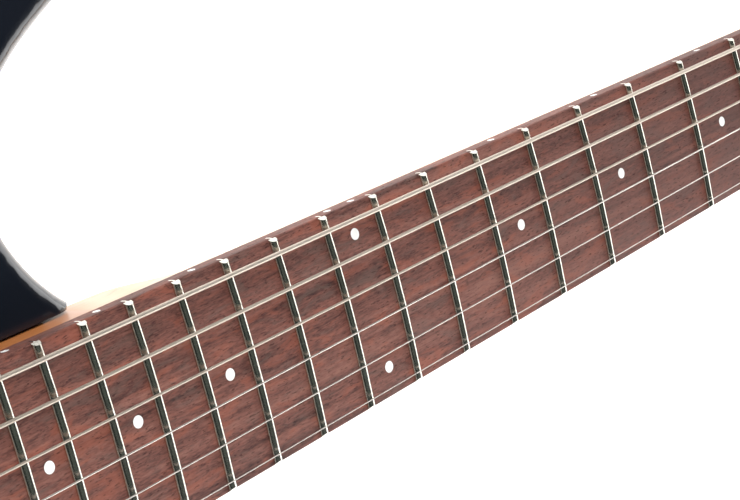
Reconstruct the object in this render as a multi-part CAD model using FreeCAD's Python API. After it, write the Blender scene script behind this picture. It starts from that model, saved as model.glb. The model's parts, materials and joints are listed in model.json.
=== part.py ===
import FreeCAD, Part
import math
import os
from FreeCAD import Placement, Rotation, Vector

# A solid-body electric guitar with a bolt-on neck, in millimetres.
# X runs from the saddles to the head, Y towards the bass side, Z out of the face.
# The origin is on the flat back, straight under the saddle line.

# ---- driving dimensions -------------------------------------------------------------
scaleLength = 648.0
fretCount = 22
stringCount = 6

nutWidth = 41.2
twelfthWidth = 51.4
boardOverhang = 7.6            # board past the last fret
boardThickness = 6.0
boardRadius = 350.0
boardEdgeRound = 0.7

fretWidth = 2.5
fretHeight = 1.15
fretTangWidth = 0.6
fretTangDepth = 2.0
fretEndBevel = 32.0            # degrees off the vertical
fretEndInset = 0.15

dotDiameter = 3.0
dotDepth = 1.6
doubleDotOffset = 17.9
sideDotDiameter = 2.0
sideDotDepth = 1.8
sideDotDrop = 2.6              # below the board's top edge
dotFrets = [3, 5, 7, 9, 15, 17, 19, 21]
octaveFret = 12
sideDotPitch = 9.0

bodyThickness = 44.0
bodyEdgeRound = 6.0
neckRise = 6.0                 # neck wood that shows above the body's face
pocketDepth = 14.0
pocketClearance = 0.15

shaftDepthFirst = 14.6         # neck wood under the board at the first fret
shaftDepthTwelfth = 16.6       # the same at the twelfth fret
shaftFullness = 1.95           # exponent of the neck's rounded back
heelFullness = 9.0
heelPastBody = 5.7             # square heel past the body's bass corner
heelOverlap = 43.0             # blended stretch that laps the heel block
heelBlendLength = 34.0
heelRelief = 0.15              # the rounded stretch is lifted off the pocket's floor
headBlendReach = 20.0          # rounded back ends this far before the nut
headSlabStart = 15.6           # flat head begins this far past the nut

nutThickness = 3.4
nutRise = 0.25                 # nut material above the strings' centres
nutRound = 0.9
stringNutGap = 0.35            # string underside above the first frets' crowns, at the nut
bassAction = 1.9               # string underside above the twelfth fret's crown
trebleAction = 1.6
nutSpread = 35.4               # outer strings, centre to centre
bridgeSpread = 54.0
stringDiameters = [1.17, 0.91, 0.66, 0.43, 0.33, 0.25]
stringFit = 0.02

headFaceDrop = 9.0             # head's face below the board's top
headThickness = 14.0
headLength = 190.0
headWidth = 51.0
headShoulderReach = 14.5       # bass edge before the first post
headTipReach = 15.0            # bass edge past the last post
headShoulderRound = 3.5
headEdgeRound = 1.6
rampRadius = 9.0

firstPostX = 36.0              # first post past the nut
firstPostY = 20.3
postPitchX = 24.5
postPitchY = -6.6
postToEdge = 12.5
postRadius = 3.0
postWaistRadius = 2.3
postHeight = 17.5              # post above the head's face
postFit = 0.05
wrapTurns = 3
wrapHeight = 7.4               # lowest turn above the head's face
stringHoleRadius = 0.8

housingWidth = 19.5
housingLength = 15.5
housingHeight = 11.0
housingRound = 2.2
housingOffset = 1.75           # housing centre off the post, along the edge
gearTeeth = 15
gearModule = 0.7
gearThickness = 3.0
gearBore = 2.2
wormPitchRadius = 1.75
wormCoreRadius = 1.2
wormTurns = 4
keyShaftRadius = 1.5
keyFit = 0.05
buttonGap = 2.0                # button past the head's edge
buttonLength = 17.0
buttonWidth = 14.0
buttonThickness = 6.4
earLength = 5.2
earThickness = 2.4
bushingRadius = 4.0
bushingHex = 10.0
bushingHexHeight = 2.5
washerRadius = 6.8
washerThickness = 1.0
bushingFit = 0.05

treeX = [46.0, 62.0]           # string trees past the nut: outer pair, middle pair
treeBarRadius = 2.2
treePostRadius = 1.5
treeOverhang = 2.6
treeScrewDepth = 9.0
treeHeight = 5.2               # strings under the trees, above the head's face

rodRadius = 2.5
rodChannelWidth = 6.2
rodChannelDepth = 9.0
rodNutRadius = 3.2
rodNutLength = 12.0
rodNutSocket = 2.0
rodSlotWidth = 8.4
coverLength = 27.0
coverWidth = 22.0
coverThickness = 2.2
coverRound = 4.0

boltRadius = 2.5
boltHeadRadius = 4.6
boltLength = 44.0
boltInsetX = 9.0
boltPitchX = 34.0
boltPitchY = 38.0
boltFerruleRadius = 7.0
boltFerruleDepth = 4.0
boltHoleFit = 0.3
boltTipRoom = 0.4
boltHeadLift = 0.4

bridgeLength = 44.0
bridgeWidth = 80.0
bridgeFront = 12.0             # plate in front of the saddle line
bridgePlateThickness = 2.5
bridgeWallHeight = 11.5
bridgeRound = 2.0
bridgeScrewX = -21.0
bridgeScrewRadius = 2.0
bridgeScrewHeadRadius = 3.7
bridgeScrewLength = 24.0
bridgeWallThickness = 2.5
plateHoleRadius = 1.6
stringHoleX = -8.5
saddleFront = 4.6
saddleLength = 17.6
saddleLift = 0.4               # saddles over the plate, on their height screws
saddleGap = 0.5                # between neighbours
saddleFlangeThickness = 2.2
saddleFlangeRise = 3.0         # flange over the intonation screw's axis
saddleSlotWidth = 2.8
grubRadius = 1.2
grubOffset = 3.4
grubX = -4.5
grubHeight = 8.0
grubSocket = 1.3
intonationRadius = 1.3
intonationHeight = 4.6         # screw axis above the plate
intonationHeadRadius = 2.3
intonationHeadHeight = 1.8
intonationTipX = -9.0
springWire = 0.45
springRadius = 2.0
springTurns = 5

ferruleRadius = 4.0
ferruleDepth = 10.0
ferruleBore = 2.4
ferruleBoreDepth = 7.0
ferruleHole = 0.9
stringBoreRadius = 2.0
ballRadius = 1.9
ballLength = 3.4

pickupLength = 69.0
bobbinWidth = 18.4
bobbinHeight = 9.5
bobbinGap = 1.0
basePlateThickness = 1.0
basePlateMargin = 1.2
basePlateEar = 8.2
pickupMagnetHeight = 3.2
polePitch = 10.1
poleRadius = 2.4
poleRise = 0.8
ringLength = 91.0
ringWidth = 45.0
ringHeight = 7.0
ringTop = 2.0
ringRound = 3.0
ringScrewInset = 3.6
pickupRise = 4.5               # bobbin tops above the rings
pickupFit = 0.6                # bobbins to the ring's opening
neckRingGap = 1.4              # neck ring to the board's end
bridgeRingGap = 10.0           # bridge ring to the bridge plate
cavityDepth = 20.0
cavityRoom = 0.8
channelRadius = 3.0
leadRadius = 0.8
leadBend = 3.0
capacitorLength = 9.0
capacitorWidth = 4.0
heightScrewOffset = 39.3

controlWall = 7.0              # wood left over the control cavity
controlRadius = 20.0
controlPath = [(66.0, -68.0), (5.0, -83.0), (-45.0, -97.0), (-94.0, -108.0)]
coverLedge = 6.0
coverPlateThickness = 2.5
coverFit = 0.2
coverScrewSeat = 0.8           # cover left under its screw heads
volumeAt = (2.0, -84.0)
toneAt = (-42.0, -97.0)
switchAt = (52.0, -71.0)

potRadius = 12.0
potHeight = 8.5
potBushRadius = 4.7
potBushFit = 0.1
potNutHex = 12.0
potNutHeight = 2.0
potWasherRadius = 7.6
potWasherThickness = 0.6
shaftRadius = 3.0
shaftFit = 0.05
knobRadius = 9.5
knobTopRadius = 8.3
knobHeight = 15.0
knobLift = 0.6                 # knob above the potentiometer's nut
knobHollowRadius = 7.6
knobHollowDepth = 5.0
knobFlutes = 24
knobFluteRadius = 0.7

switchLength = 44.0
switchWidth = 11.0
switchHeight = 18.0
switchPlateThickness = 1.4
switchPitch = 35.0
leverThickness = 1.2
leverWidth = 4.0
leverPivotDrop = 5.0           # pivot under the wall over the control cavity
leverRise = 12.0
leverSlotWidth = 2.4
leverSlotLength = 12.8
leverFrameLength = 30.0
leverFrameWidth = 8.0
leverPivotRadius = 1.6
tipLength = 11.0
tipWidth = 6.6
tipThickness = 4.6

jackX = -97.0
sideHoleHeight = 22.0          # jack and strap buttons over the back
jackBore = 3.25
jackBarrelRadius = 4.7
jackLength = 33.0
jackBoreLength = 28.0
jackMouthDrop = 3.0            # mouth behind the plate's seat
jackNutHex = 12.0
jackNutHeight = 1.8
jackFlangeRadius = 12.5
jackFlangeThickness = 1.6
jackCupRadius = 8.5
jackCupDepth = 6.0
jackCupWall = 1.2
jackSpotDepth = 3.0

strapBaseRadius = 5.6
strapNeckRadius = 4.0
strapFlangeRadius = 7.2
strapLength = 12.5
strapScrewLength = 28.0
strapScrewRadius = 2.0
tailSpotDepth = 0.3
hornSpotDepth = 3.0

trimScrewRadius = 1.2
trimScrewHeadRadius = 2.6
trimScrewLength = 12.0
trimScrewHeadHeight = 1.5

# Outline of the body, from the neck joint's bass corner round the bass horn and the tail.
bodyOutline = [
    (252.3, 29.0), (246.8, 35.0), (241.6, 43.2), (237.8, 57.5), (241.5, 71.5), (253.6, 84.6),
    (272.5, 95.4), (292.0, 106.0), (302.0, 118.5), (297.0, 131.0), (275.0, 140.5),
    (230.0, 147.0), (175.0, 141.0), (115.0, 120.5), (65.0, 113.0), (10.0, 123.0),
    (-50.0, 148.0), (-100.0, 156.5), (-140.0, 135.0), (-160.0, 80.0), (-165.0, 0.0),
    (-160.0, -80.0), (-138.0, -137.0), (-95.0, -157.0), (-45.0, -146.0), (15.0, -117.0),
    (65.0, -108.0), (115.0, -115.0), (170.0, -131.0), (215.0, -133.0), (248.0, -122.0),
    (262.0, -107.0), (255.0, -93.0), (233.0, -80.0), (214.0, -64.0), (209.0, -47.0),
    (226.0, -28.5),
]
hornTip = 8                    # the outline's point at the bass horn's tip
tailPoint = 20                 # the outline's point at the middle of the tail

# ---- levels and lines that follow from them -----------------------------------------
neckTop = bodyThickness + neckRise
boardTop = neckTop + boardThickness
pocketFloor = bodyThickness - pocketDepth
heelDepth = neckTop - pocketFloor
headFace = boardTop - headFaceDrop
headBack = headFace - headThickness
nutBack = scaleLength + nutThickness
plateTop = bodyThickness + bridgePlateThickness
bridgeRear = bridgeFront - bridgeLength
controlCeiling = bodyThickness - controlWall
radiusAxis = boardTop - boardRadius
margin = 1.0                   # how far cutting shapes reach past what they cut
bodyReach = 400.0              # well past the body's edges


def fretX(number):
    return scaleLength * 2.0 ** (-number / 12.0)


def fretMiddle(number):
    return (fretX(number) + fretX(number - 1)) / 2.0


boardEnd = fretX(fretCount) - boardOverhang


def boardHalf(x):
    growth = (twelfthWidth - nutWidth) / (scaleLength / 2.0)
    return (nutWidth + growth * (scaleLength - x)) / 2.0


def boardSurface(y):
    return radiusAxis + math.sqrt(boardRadius ** 2 - y ** 2)


# ---- small builders -------------------------------------------------------------------
def block(x0, x1, y0, y1, z0, z1):
    return Part.makeBox(x1 - x0, y1 - y0, z1 - z0, Vector(x0, y0, z0))


def rod(radius, start, end):
    return Part.makeCylinder(radius, (end - start).Length, start, end - start)


def upright(radius, x, y, z0, z1):
    return Part.makeCylinder(radius, z1 - z0, Vector(x, y, z0))


def prism(points, z0, z1):
    corners = [Vector(x, y, z0) for x, y in points]
    face = Part.Face(Part.makePolygon(corners + corners[:1]))
    return face.extrude(Vector(0, 0, z1 - z0))


def sideProfile(points, y0, y1):
    corners = [Vector(x, y0, z) for x, z in points]
    face = Part.Face(Part.makePolygon(corners + corners[:1]))
    return face.extrude(Vector(0, y1 - y0, 0))


def hexagon(flats, x, y, z0, z1):
    corner = flats / math.sqrt(3.0)
    points = []
    for step in range(6):
        angle = math.radians(60.0 * step)
        points.append((x + corner * math.cos(angle), y + corner * math.sin(angle)))
    return prism(points, z0, z1)


def roundedBlock(length, width, radius, x, y, z0, z1):
    shape = block(x - length / 2, x + length / 2, y - width / 2, y + width / 2, z0, z1)
    upEdges = [edge for edge in shape.Edges if abs(edge.tangentAt(edge.FirstParameter).z) > 0.9]
    return shape.makeFillet(radius, upEdges)


def stadium(length, width, x, y, z0, z1):
    half = (length - width) / 2.0
    middle = block(x - width / 2, x + width / 2, y - half, y + half, z0, z1)
    ends = [upright(width / 2, x, y - half, z0, z1), upright(width / 2, x, y + half, z0, z1)]
    return middle.multiFuse(ends).removeSplitter()


def levelEdges(shape, z):
    return [edge for edge in shape.Edges
            if abs(edge.BoundBox.ZMin - z) < 0.01 and abs(edge.BoundBox.ZMax - z) < 0.01]


def tangentPath(points, radii):
    # Straight runs joined by tangent arcs, one radius for each inner point.
    edges = []
    start = points[0]
    for index, radius in enumerate(radii):
        corner = points[index + 1]
        back = (points[index] - corner).normalize()
        ahead = (points[index + 2] - corner).normalize()
        half = back.getAngle(ahead) / 2.0
        reach = radius / math.tan(half)
        middle = corner + (back + ahead).normalize() * (radius / math.sin(half) - radius)
        first = corner + back * reach
        last = corner + ahead * reach
        edges.append(Part.LineSegment(start, first).toShape())
        edges.append(Part.Arc(first, middle, last).toShape())
        start = last
    edges.append(Part.LineSegment(start, points[-1]).toShape())
    return Part.Wire(edges)


def tube(name, points, radii, radius):
    path = tangentPath(points, radii)
    section = Part.Wire(Part.makeCircle(radius, points[0], points[1] - points[0]))
    shape = path.makePipeShell([section], True, False)
    expected = math.pi * radius ** 2 * path.Length
    print(name, "bends", [round(r, 2) for r in radii], "length", round(path.Length, 1),
          "volume ratio", round(shape.Volume / expected, 4))
    return shape


def springCoil(x, y, z, length, axis):
    helix = Part.makeHelix(length / springTurns, length, springRadius)
    section = Part.Wire(Part.makeCircle(springWire / 2, Vector(springRadius, 0, 0), Vector(0, 1, 0)))
    coil = Part.Wire(helix).makePipeShell([section], True, True)
    coil.Placement = Placement(Vector(x, y, z), Rotation(Vector(0, 0, 1), axis))
    return coil


def trimScrew(at, direction):
    # A round-headed wood screw: its head stands on the point, its shank runs along the direction.
    along = Vector(direction).normalize()
    head = rod(trimScrewHeadRadius, at, at - along * trimScrewHeadHeight)
    edges = [edge for edge in head.Edges if (edge.CenterOfMass - at).Length > trimScrewHeadHeight - 0.01
             and edge.Closed]
    head = head.makeFillet(trimScrewHeadHeight * 0.6, edges)
    shank = rod(trimScrewRadius, at - along * 0.1, at + along * trimScrewLength)
    screw = head.fuse(shank)
    turn = Rotation(Vector(0, 0, 1), -along)
    for angle in (0.0, 90.0):
        slot = Part.makeBox(3.2, 0.6, margin + 0.7, Vector(-1.6, -0.3, trimScrewHeadHeight - 0.7))
        slot.rotate(Vector(0, 0, 0), Vector(0, 0, 1), angle)
        slot.Placement = Placement(at, turn).multiply(slot.Placement)
        screw = screw.cut(slot)
    return screw.removeSplitter()


def trimScrewHole(at, direction):
    along = Vector(direction).normalize()
    return rod(trimScrewRadius, at - along * 6.0, at + along * trimScrewLength)


nodes = {}


def keep(name, shapes):
    nodes[name] = Part.makeCompound(shapes) if isinstance(shapes, list) else shapes


# ---- strings: where each one runs ------------------------------------------------------
saddleBend = 3.0
plateBend = 3.0
nutBend = 12.0
treeBend = 12.0
postPitch = math.hypot(postPitchX, postPitchY)
postLineTurn = math.degrees(math.atan2(postPitchY, postPitchX))


def postCentre(index):
    return Vector(nutBack + firstPostX + postPitchX * index, firstPostY + postPitchY * index, 0)


def stringNutY(index):
    return nutSpread * (0.5 - index / (stringCount - 1))


def stringBridgeY(index):
    return bridgeSpread * (0.5 - index / (stringCount - 1))


def stringNutPoint(index):
    y = stringNutY(index)
    radius = stringDiameters[index] / 2
    return Vector(scaleLength + nutThickness / 2, y, boardSurface(y) + fretHeight + stringNutGap + radius)


def stringSaddlePoint(index):
    # The string's centre line over the saddle, from its heights at the nut and the twelfth fret.
    nutPoint = stringNutPoint(index)
    y = stringBridgeY(index)
    middleY = (y + nutPoint.y) / 2
    action = bassAction + (trebleAction - bassAction) * index / (stringCount - 1)
    middleZ = boardSurface(middleY) + fretHeight + action + stringDiameters[index] / 2
    return Vector(0, y, 2 * middleZ - nutPoint.z)


def treeStrings():
    # String indexes under each tree: the outer treble pair, then the middle pair.
    return [(stringCount - 2, stringCount - 1), (stringCount - 4, stringCount - 3)]


def wrapRadius(index):
    return postWaistRadius + stringDiameters[index] / 2 + stringFit


def stringPostEnd(index, start):
    # Where the straight string stops, just before its first turn on the post.
    centre = postCentre(index)
    towards = math.atan2(start.y - centre.y, start.x - centre.x)
    apart = math.hypot(start.y - centre.y, start.x - centre.x)
    swing = math.acos(wrapRadius(index) / apart)
    touch = Vector(centre.x + wrapRadius(index) * math.cos(towards + swing),
                   centre.y + wrapRadius(index) * math.sin(towards + swing),
                   headFace + wrapHeight)
    side = stringDiameters[index] + 0.12
    short = math.sqrt(2 * wrapRadius(index) * side + side ** 2)
    return touch + (start - touch).normalize() * short


def treePoint(index):
    for pair, past in zip(treeStrings(), treeX):
        if index in pair:
            nutPoint = stringNutPoint(index)
            end = stringPostEnd(index, nutPoint)
            share = (nutBack + past - nutPoint.x) / (end.x - nutPoint.x)
            y = nutPoint.y + (end.y - nutPoint.y) * share
            return Vector(nutBack + past, y, headFace + treeHeight)
    return None


def plateHole(index):
    return Vector(stringHoleX, stringBridgeY(index), plateTop)


def ballPoint(index):
    return Vector(stringHoleX, stringBridgeY(index), ferruleBoreDepth)


def buildString(index):
    points = [ballPoint(index), plateHole(index), stringSaddlePoint(index), stringNutPoint(index)]
    radii = [plateBend, saddleBend, nutBend]
    last = points[-1]
    if treePoint(index) is not None:
        last = treePoint(index)
        points.append(last)
        radii.append(treeBend)
    points.append(stringPostEnd(index, last))
    number = stringCount - index
    return tube("string %d" % number, points, radii, stringDiameters[index] / 2)


def buildBall(index):
    top = ballPoint(index)
    return rod(ballRadius, top - Vector(0, 0, ballLength), top)


for index in range(stringCount):
    keep("string_%d" % (stringCount - index), [buildString(index), buildBall(index)])


# ---- fingerboard, frets and dots -------------------------------------------------------
def boardBlank():
    plan = [(boardEnd, -boardHalf(boardEnd)), (scaleLength, -boardHalf(scaleLength)),
            (scaleLength, boardHalf(scaleLength)), (boardEnd, boardHalf(boardEnd))]
    slab = prism(plan, neckTop, boardTop + margin)
    crown = rod(boardRadius, Vector(boardEnd - margin, 0, radiusAxis),
                Vector(scaleLength + margin, 0, radiusAxis))
    board = slab.common(crown)
    topEdges = [edge for edge in board.Edges
                if edge.BoundBox.ZMin > neckTop + margin and edge.BoundBox.XLength > scaleLength / 2]
    return board.makeFillet(boardEdgeRound, topEdges)


def turnAboutRadius(points):
    # Revolves a fret's section, drawn as (x, height above the board), about the board's radius axis.
    halfTurn = math.degrees(boardHalf(boardEnd) / boardRadius) + 1.0
    corners = [Vector(x, 0, boardTop + height) for x, height in points]
    face = Part.Face(Part.makePolygon(corners + corners[:1]))
    axis = Vector(0, 0, radiusAxis)
    face.rotate(axis, Vector(1, 0, 0), -halfTurn)
    return face.revolve(axis, Vector(1, 0, 0), 2 * halfTurn)


def fretTang(x, height):
    half = fretTangWidth / 2
    return turnAboutRadius([(x - half, -fretTangDepth), (x + half, -fretTangDepth), (x + half, height),
                            (x - half, height)])


def fretCrown(x):
    half = fretWidth / 2
    steps = 10
    points = [(x - half, 0.0)]
    for step in range(steps + 1):
        angle = math.pi * step / steps
        points.append((x - half * math.cos(angle), 0.25 + (fretHeight - 0.25) * math.sin(angle)))
    points.append((x + half, 0.0))
    return turnAboutRadius(points)


def fretBounds():
    # A long wedge-sided bar with the bevel of the fret ends along the board's edges.
    lean = math.tan(math.radians(fretEndBevel))
    sections = []
    for x in (boardEnd, scaleLength):
        half = boardHalf(x)
        edgeTop = boardSurface(half)
        low = boardTop - 2 * fretTangDepth
        high = boardTop + 2 * fretHeight
        inner = half - fretEndInset - (high - edgeTop) * lean
        points = [Vector(x, -half, low), Vector(x, half, low), Vector(x, half, edgeTop - boardEdgeRound),
                  Vector(x, half - fretEndInset, edgeTop), Vector(x, inner, high), Vector(x, -inner, high),
                  Vector(x, -half + fretEndInset, edgeTop), Vector(x, -half, edgeTop - boardEdgeRound)]
        sections.append(Part.makePolygon(points + points[:1]))
    return Part.makeLoft(sections, True, True)


def buildFrets():
    bounds = fretBounds()
    frets = []
    for number in range(1, fretCount + 1):
        x = fretX(number)
        fret = fretCrown(x).fuse(fretTang(x, fretHeight / 2)).removeSplitter()
        frets.append(fret.common(bounds))
    return frets


def dotPlaces():
    places = [(fretMiddle(number), 0.0) for number in dotFrets]
    for side in (-1, 1):
        places.append((fretMiddle(octaveFret), side * doubleDotOffset))
    return places


def sideDotPlaces():
    places = [fretMiddle(number) for number in dotFrets]
    for side in (-1, 1):
        places.append(fretMiddle(octaveFret) + side * sideDotPitch / 2)
    return places


def dotPlug(x, y):
    return upright(dotDiameter / 2, x, y, boardSurface(y) - dotDepth, boardTop + margin)


def sideDotPlug(x):
    z = boardSurface(boardHalf(x)) - sideDotDrop
    return rod(sideDotDiameter / 2, Vector(x, boardHalf(x) - sideDotDepth, z),
               Vector(x, boardHalf(x) + margin, z))


blank = boardBlank()
keep("frets", buildFrets())
keep("position_dots", [dotPlug(x, y).common(blank) for x, y in dotPlaces()])
keep("side_dots", [sideDotPlug(x).common(blank) for x in sideDotPlaces()])
slots = [fretTang(fretX(number), 2 * fretHeight) for number in range(1, fretCount + 1)]
plugs = [dotPlug(x, y) for x, y in dotPlaces()] + [sideDotPlug(x) for x in sideDotPlaces()]
keep("fingerboard", blank.cut(slots + plugs))


# ---- neck and head ---------------------------------------------------------------------
sectionSteps = 16
heelFull = bodyOutline[0][0] + heelPastBody      # the heel's square section runs this far
heelStart = heelFull - heelOverlap
heelBlend = heelFull + heelBlendLength           # the rounded back begins here
headBlend = scaleLength - headBlendReach         # the rounded back ends here
headStart = nutBack + headSlabStart              # the head's flat slab begins here
headTip = nutBack + headLength
rampStart = nutBack + 1.0


def shaftDepth(x):
    firstX = fretX(1)
    middleX = scaleLength / 2
    return shaftDepthFirst + (shaftDepthTwelfth - shaftDepthFirst) * (firstX - x) / (firstX - middleX)


def neckSection(x, bassHalf, trebleHalf, depth, fullness):
    # Flat on top, rounded below: a half superellipse across the neck.
    centre = (bassHalf - trebleHalf) / 2
    half = (bassHalf + trebleHalf) / 2
    points = []
    for step in range(sectionSteps + 1):
        angle = math.pi * step / sectionSteps
        across = math.copysign(abs(math.cos(angle)) ** (2 / fullness), math.cos(angle))
        down = max(math.sin(angle), 0.0) ** (2 / fullness)
        points.append(Vector(x, centre + half * across, neckTop - depth * down))
    curve = Part.BSplineCurve()
    curve.interpolate(points)
    top = Part.LineSegment(points[-1], points[0])
    return Part.Wire([curve.toShape(), top.toShape()])


def neckLoft(stations):
    return Part.makeLoft([neckSection(*station) for station in stations], True, False)


def smoothStep(share):
    return share * share * (3 - 2 * share)


def shaftStation(x):
    return (x, boardHalf(x), boardHalf(x), shaftDepth(x), shaftFullness)


def heelStation(x):
    share = smoothStep(min(max((x - heelFull) / (heelBlend - heelFull), 0.0), 1.0))
    depth = heelDepth - heelRelief + (shaftDepth(x) - heelDepth + heelRelief) * share
    fullness = heelFullness + (shaftFullness - heelFullness) * smoothStep(min(share * 1.4, 1.0))
    return (x, boardHalf(x), boardHalf(x), depth, fullness)


def headStation(x):
    share = smoothStep((x - headBlend) / (headStart + margin - headBlend))
    flare = smoothStep(max((x - nutBack) / (headStart + margin - nutBack), 0.0))
    depth = shaftDepth(headBlend) + (neckTop - headBack - shaftDepth(headBlend)) * share
    fullness = shaftFullness + (heelFullness - shaftFullness) * share
    nutHalf = boardHalf(min(x, nutBack))
    return (x, nutHalf + 3.4 * flare, nutHalf + 2.0 * flare, depth, fullness)


def headEdgePoint(along):
    # A point on the head's straight bass edge, measured along the line of posts from the first one.
    turn = math.radians(postLineTurn)
    first = postCentre(0)
    x = first.x + along * math.cos(turn) - postToEdge * math.sin(turn)
    y = first.y + along * math.sin(turn) + postToEdge * math.cos(turn)
    return (x, y)


def headPlan():
    bassHalf = headStation(headStart)[1]
    trebleHalf = headStation(headStart)[2]
    shoulder = headEdgePoint(-headShoulderReach)
    edgeEnd = headEdgePoint(postPitch * (stringCount - 1) + headTipReach)
    treble = [(headStart, -trebleHalf), (headStart + 32.0, -30.0), (headStart + 74.0, -40.5),
              (headStart + 118.0, -50.5), (headTip - 26.0, -54.0), (headTip - 7.0, -45.5),
              (headTip, -29.0), (headTip - 4.5, -14.0), edgeEnd]
    points = [Vector(x, y, headBack) for x, y in treble]
    curve = Part.BSplineCurve()
    curve.interpolate(points)
    corners = [points[-1], Vector(shoulder[0], shoulder[1], headBack), Vector(headStart, bassHalf, headBack),
               points[0]]
    edges = [curve.toShape()]
    for start, end in zip(corners, corners[1:]):
        edges.append(Part.LineSegment(start, end).toShape())
    return Part.Face(Part.Wire(edges))


def buildHeadSlab():
    slab = headPlan().extrude(Vector(0, 0, headThickness))
    shoulder = headEdgePoint(-headShoulderReach)
    upEdges = []
    for edge in slab.Edges:
        box = edge.BoundBox
        apart = math.hypot(box.XMin - shoulder[0], box.YMin - shoulder[1])
        if box.ZLength > headThickness - 0.1 and apart < 1.0:
            upEdges.append(edge)
    slab = slab.makeFillet(headShoulderRound, upEdges)
    rim = [edge for edge in levelEdges(slab, headFace) + levelEdges(slab, headBack)
           if edge.BoundBox.XMax > headStart + 1.0]
    return slab.makeFillet(headEdgeRound, rim)


def heelPlan(spread, rear, mouth):
    # The square heel in its pocket, up to the body's slanted front line.
    half = boardHalf(boardEnd) + spread
    start = boardEnd - rear
    return [(start, -half), (frontLineX(-half) + mouth, -boardHalf(frontLineX(-half)) - spread),
            (frontLineX(half) + mouth, boardHalf(frontLineX(half)) + spread), (start, half)]


def frontLineX(y):
    bass = bodyOutline[0]
    treble = bodyOutline[-1]
    return treble[0] + (bass[0] - treble[0]) * (y - treble[1]) / (bass[1] - treble[1])


def boltPlaces():
    x = boardEnd + boltInsetX
    half = boltPitchY / 2
    return [(x, -half), (x, half), (x + boltPitchX, -half), (x + boltPitchX, half)]


rodAxis = neckTop - rodChannelDepth + rodRadius
rampX = rampStart + math.sqrt(rampRadius ** 2 - (rampRadius - neckTop + headFace) ** 2)
slotStart = rampX + 1.3
rodNutStart = slotStart + 2.0
rodNutEnd = rodNutStart + rodNutLength
slotEnd = rodNutEnd + 7.0
rodStart = boardEnd + 28.0


def coverPlan():
    x = rampX + 0.2 + coverLength / 2
    return (x, headFace)


def coverScrews():
    x, z = coverPlan()
    reach = coverLength / 2 - 2.6
    return [Vector(x - reach, -coverWidth / 2 + 3.4, z + coverThickness),
            Vector(x - reach, coverWidth / 2 - 3.4, z + coverThickness),
            Vector(x + reach, 0, z + coverThickness)]


def housingEarPoint(index):
    # The screw through a tuner's ear, on the back of the head.
    offset = housingOffset - housingWidth / 2 - earLength / 2
    centre = postCentre(index)
    turn = math.radians(postLineTurn)
    return Vector(centre.x + offset * math.cos(turn), centre.y + offset * math.sin(turn),
                  headBack - earThickness)


def treeMiddle(pair):
    first = treePoint(pair[0])
    second = treePoint(pair[1])
    return Vector(first.x, (first.y + second.y) / 2, headFace)


def buildNeck():
    heelMouth = -0.6
    heel = prism(heelPlan(0.0, 0.0, heelMouth), pocketFloor, neckTop)
    heelStations = [heelStation(x) for x in (heelStart, (heelStart + heelFull) / 2, heelFull)]
    steps = 6
    blendStations = [heelStation(heelFull + (heelBlend - heelFull) * step / steps)
                     for step in range(steps + 1)]
    shaftStations = [shaftStation(x) for x in (heelBlend, (heelBlend + headBlend) / 2, headBlend)]
    headStations = [headStation(headBlend + (headStart + margin - headBlend) * step / steps)
                    for step in range(steps + 1)]
    pieces = [neckLoft(stations) for stations in (heelStations, blendStations, shaftStations, headStations)]
    pieces.append(buildHeadSlab())
    neck = heel.multiFuse(pieces)
    wide = headWidth * 2
    tools = [rod(rampRadius, Vector(rampX, -wide, headFace + rampRadius),
                 Vector(rampX, wide, headFace + rampRadius)),
             block(rampX, headTip + wide, -wide, wide, headFace, neckTop + wide),
             block(rodStart - margin, slotStart + margin, -rodChannelWidth / 2, rodChannelWidth / 2,
                   neckTop - rodChannelDepth, neckTop + margin),
             block(slotStart, slotEnd, -rodSlotWidth / 2, rodSlotWidth / 2,
                   rodAxis - rodSlotWidth / 2, neckTop + margin)]
    for index in range(stringCount):
        centre = postCentre(index)
        tools.append(upright(bushingRadius, centre.x, centre.y, headBack - margin, headFace + margin))
        tools.append(trimScrewHole(housingEarPoint(index), (0, 0, 1)))
    for at in coverScrews():
        tools.append(trimScrewHole(at, (0, 0, -1)))
    for pair in treeStrings():
        middle = treeMiddle(pair)
        tools.append(upright(treePostRadius, middle.x, middle.y, headFace - treeScrewDepth,
                             headFace + margin))
    for x, y in boltPlaces():
        tools.append(upright(boltRadius, x, y, pocketFloor - margin, boltLength + boltTipRoom))
    return neck.cut(tools)


def buildNut():
    half = boardHalf(scaleLength)
    rise = stringNutGap + fretHeight + stringDiameters[0] / 2 + nutRise
    slab = block(scaleLength, nutBack, -half, half, neckTop, boardTop + 3 * rise)
    crown = rod(boardRadius + rise, Vector(scaleLength - margin, 0, radiusAxis),
                Vector(nutBack + margin, 0, radiusAxis))
    nut = slab.common(crown)
    rear = [edge for edge in nut.Edges if edge.BoundBox.XMin > nutBack - 0.01
            and edge.BoundBox.ZMin > boardTop]
    nut = nut.makeFillet(nutRound, rear)
    for index in range(stringCount):
        middle = stringNutPoint(index)
        radius = stringDiameters[index] / 2 + stringFit
        saddleSide = (stringSaddlePoint(index) - middle).normalize()
        beyond = treePoint(index) or stringPostEnd(index, middle)
        headSide = (beyond - middle).normalize()
        reach = nutThickness
        side = radius + stringFit
        nut = nut.cut([rod(radius, middle, middle + saddleSide * reach),
                       rod(radius, middle, middle + headSide * reach),
                       Part.makeSphere(radius, middle),
                       block(middle.x - reach, middle.x + reach, middle.y - side, middle.y + side,
                             middle.z, middle.z + rise)])
    return nut


def buildTrussRod():
    bar = rod(rodRadius, Vector(rodStart, 0, rodAxis), Vector(rodNutEnd - 4.0, 0, rodAxis))
    anchor = block(rodStart - margin, rodStart + 7.0, -rodChannelWidth / 2, rodChannelWidth / 2,
                   rodAxis - rodRadius, rodAxis + rodRadius)
    return bar.fuse(anchor).removeSplitter()


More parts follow.
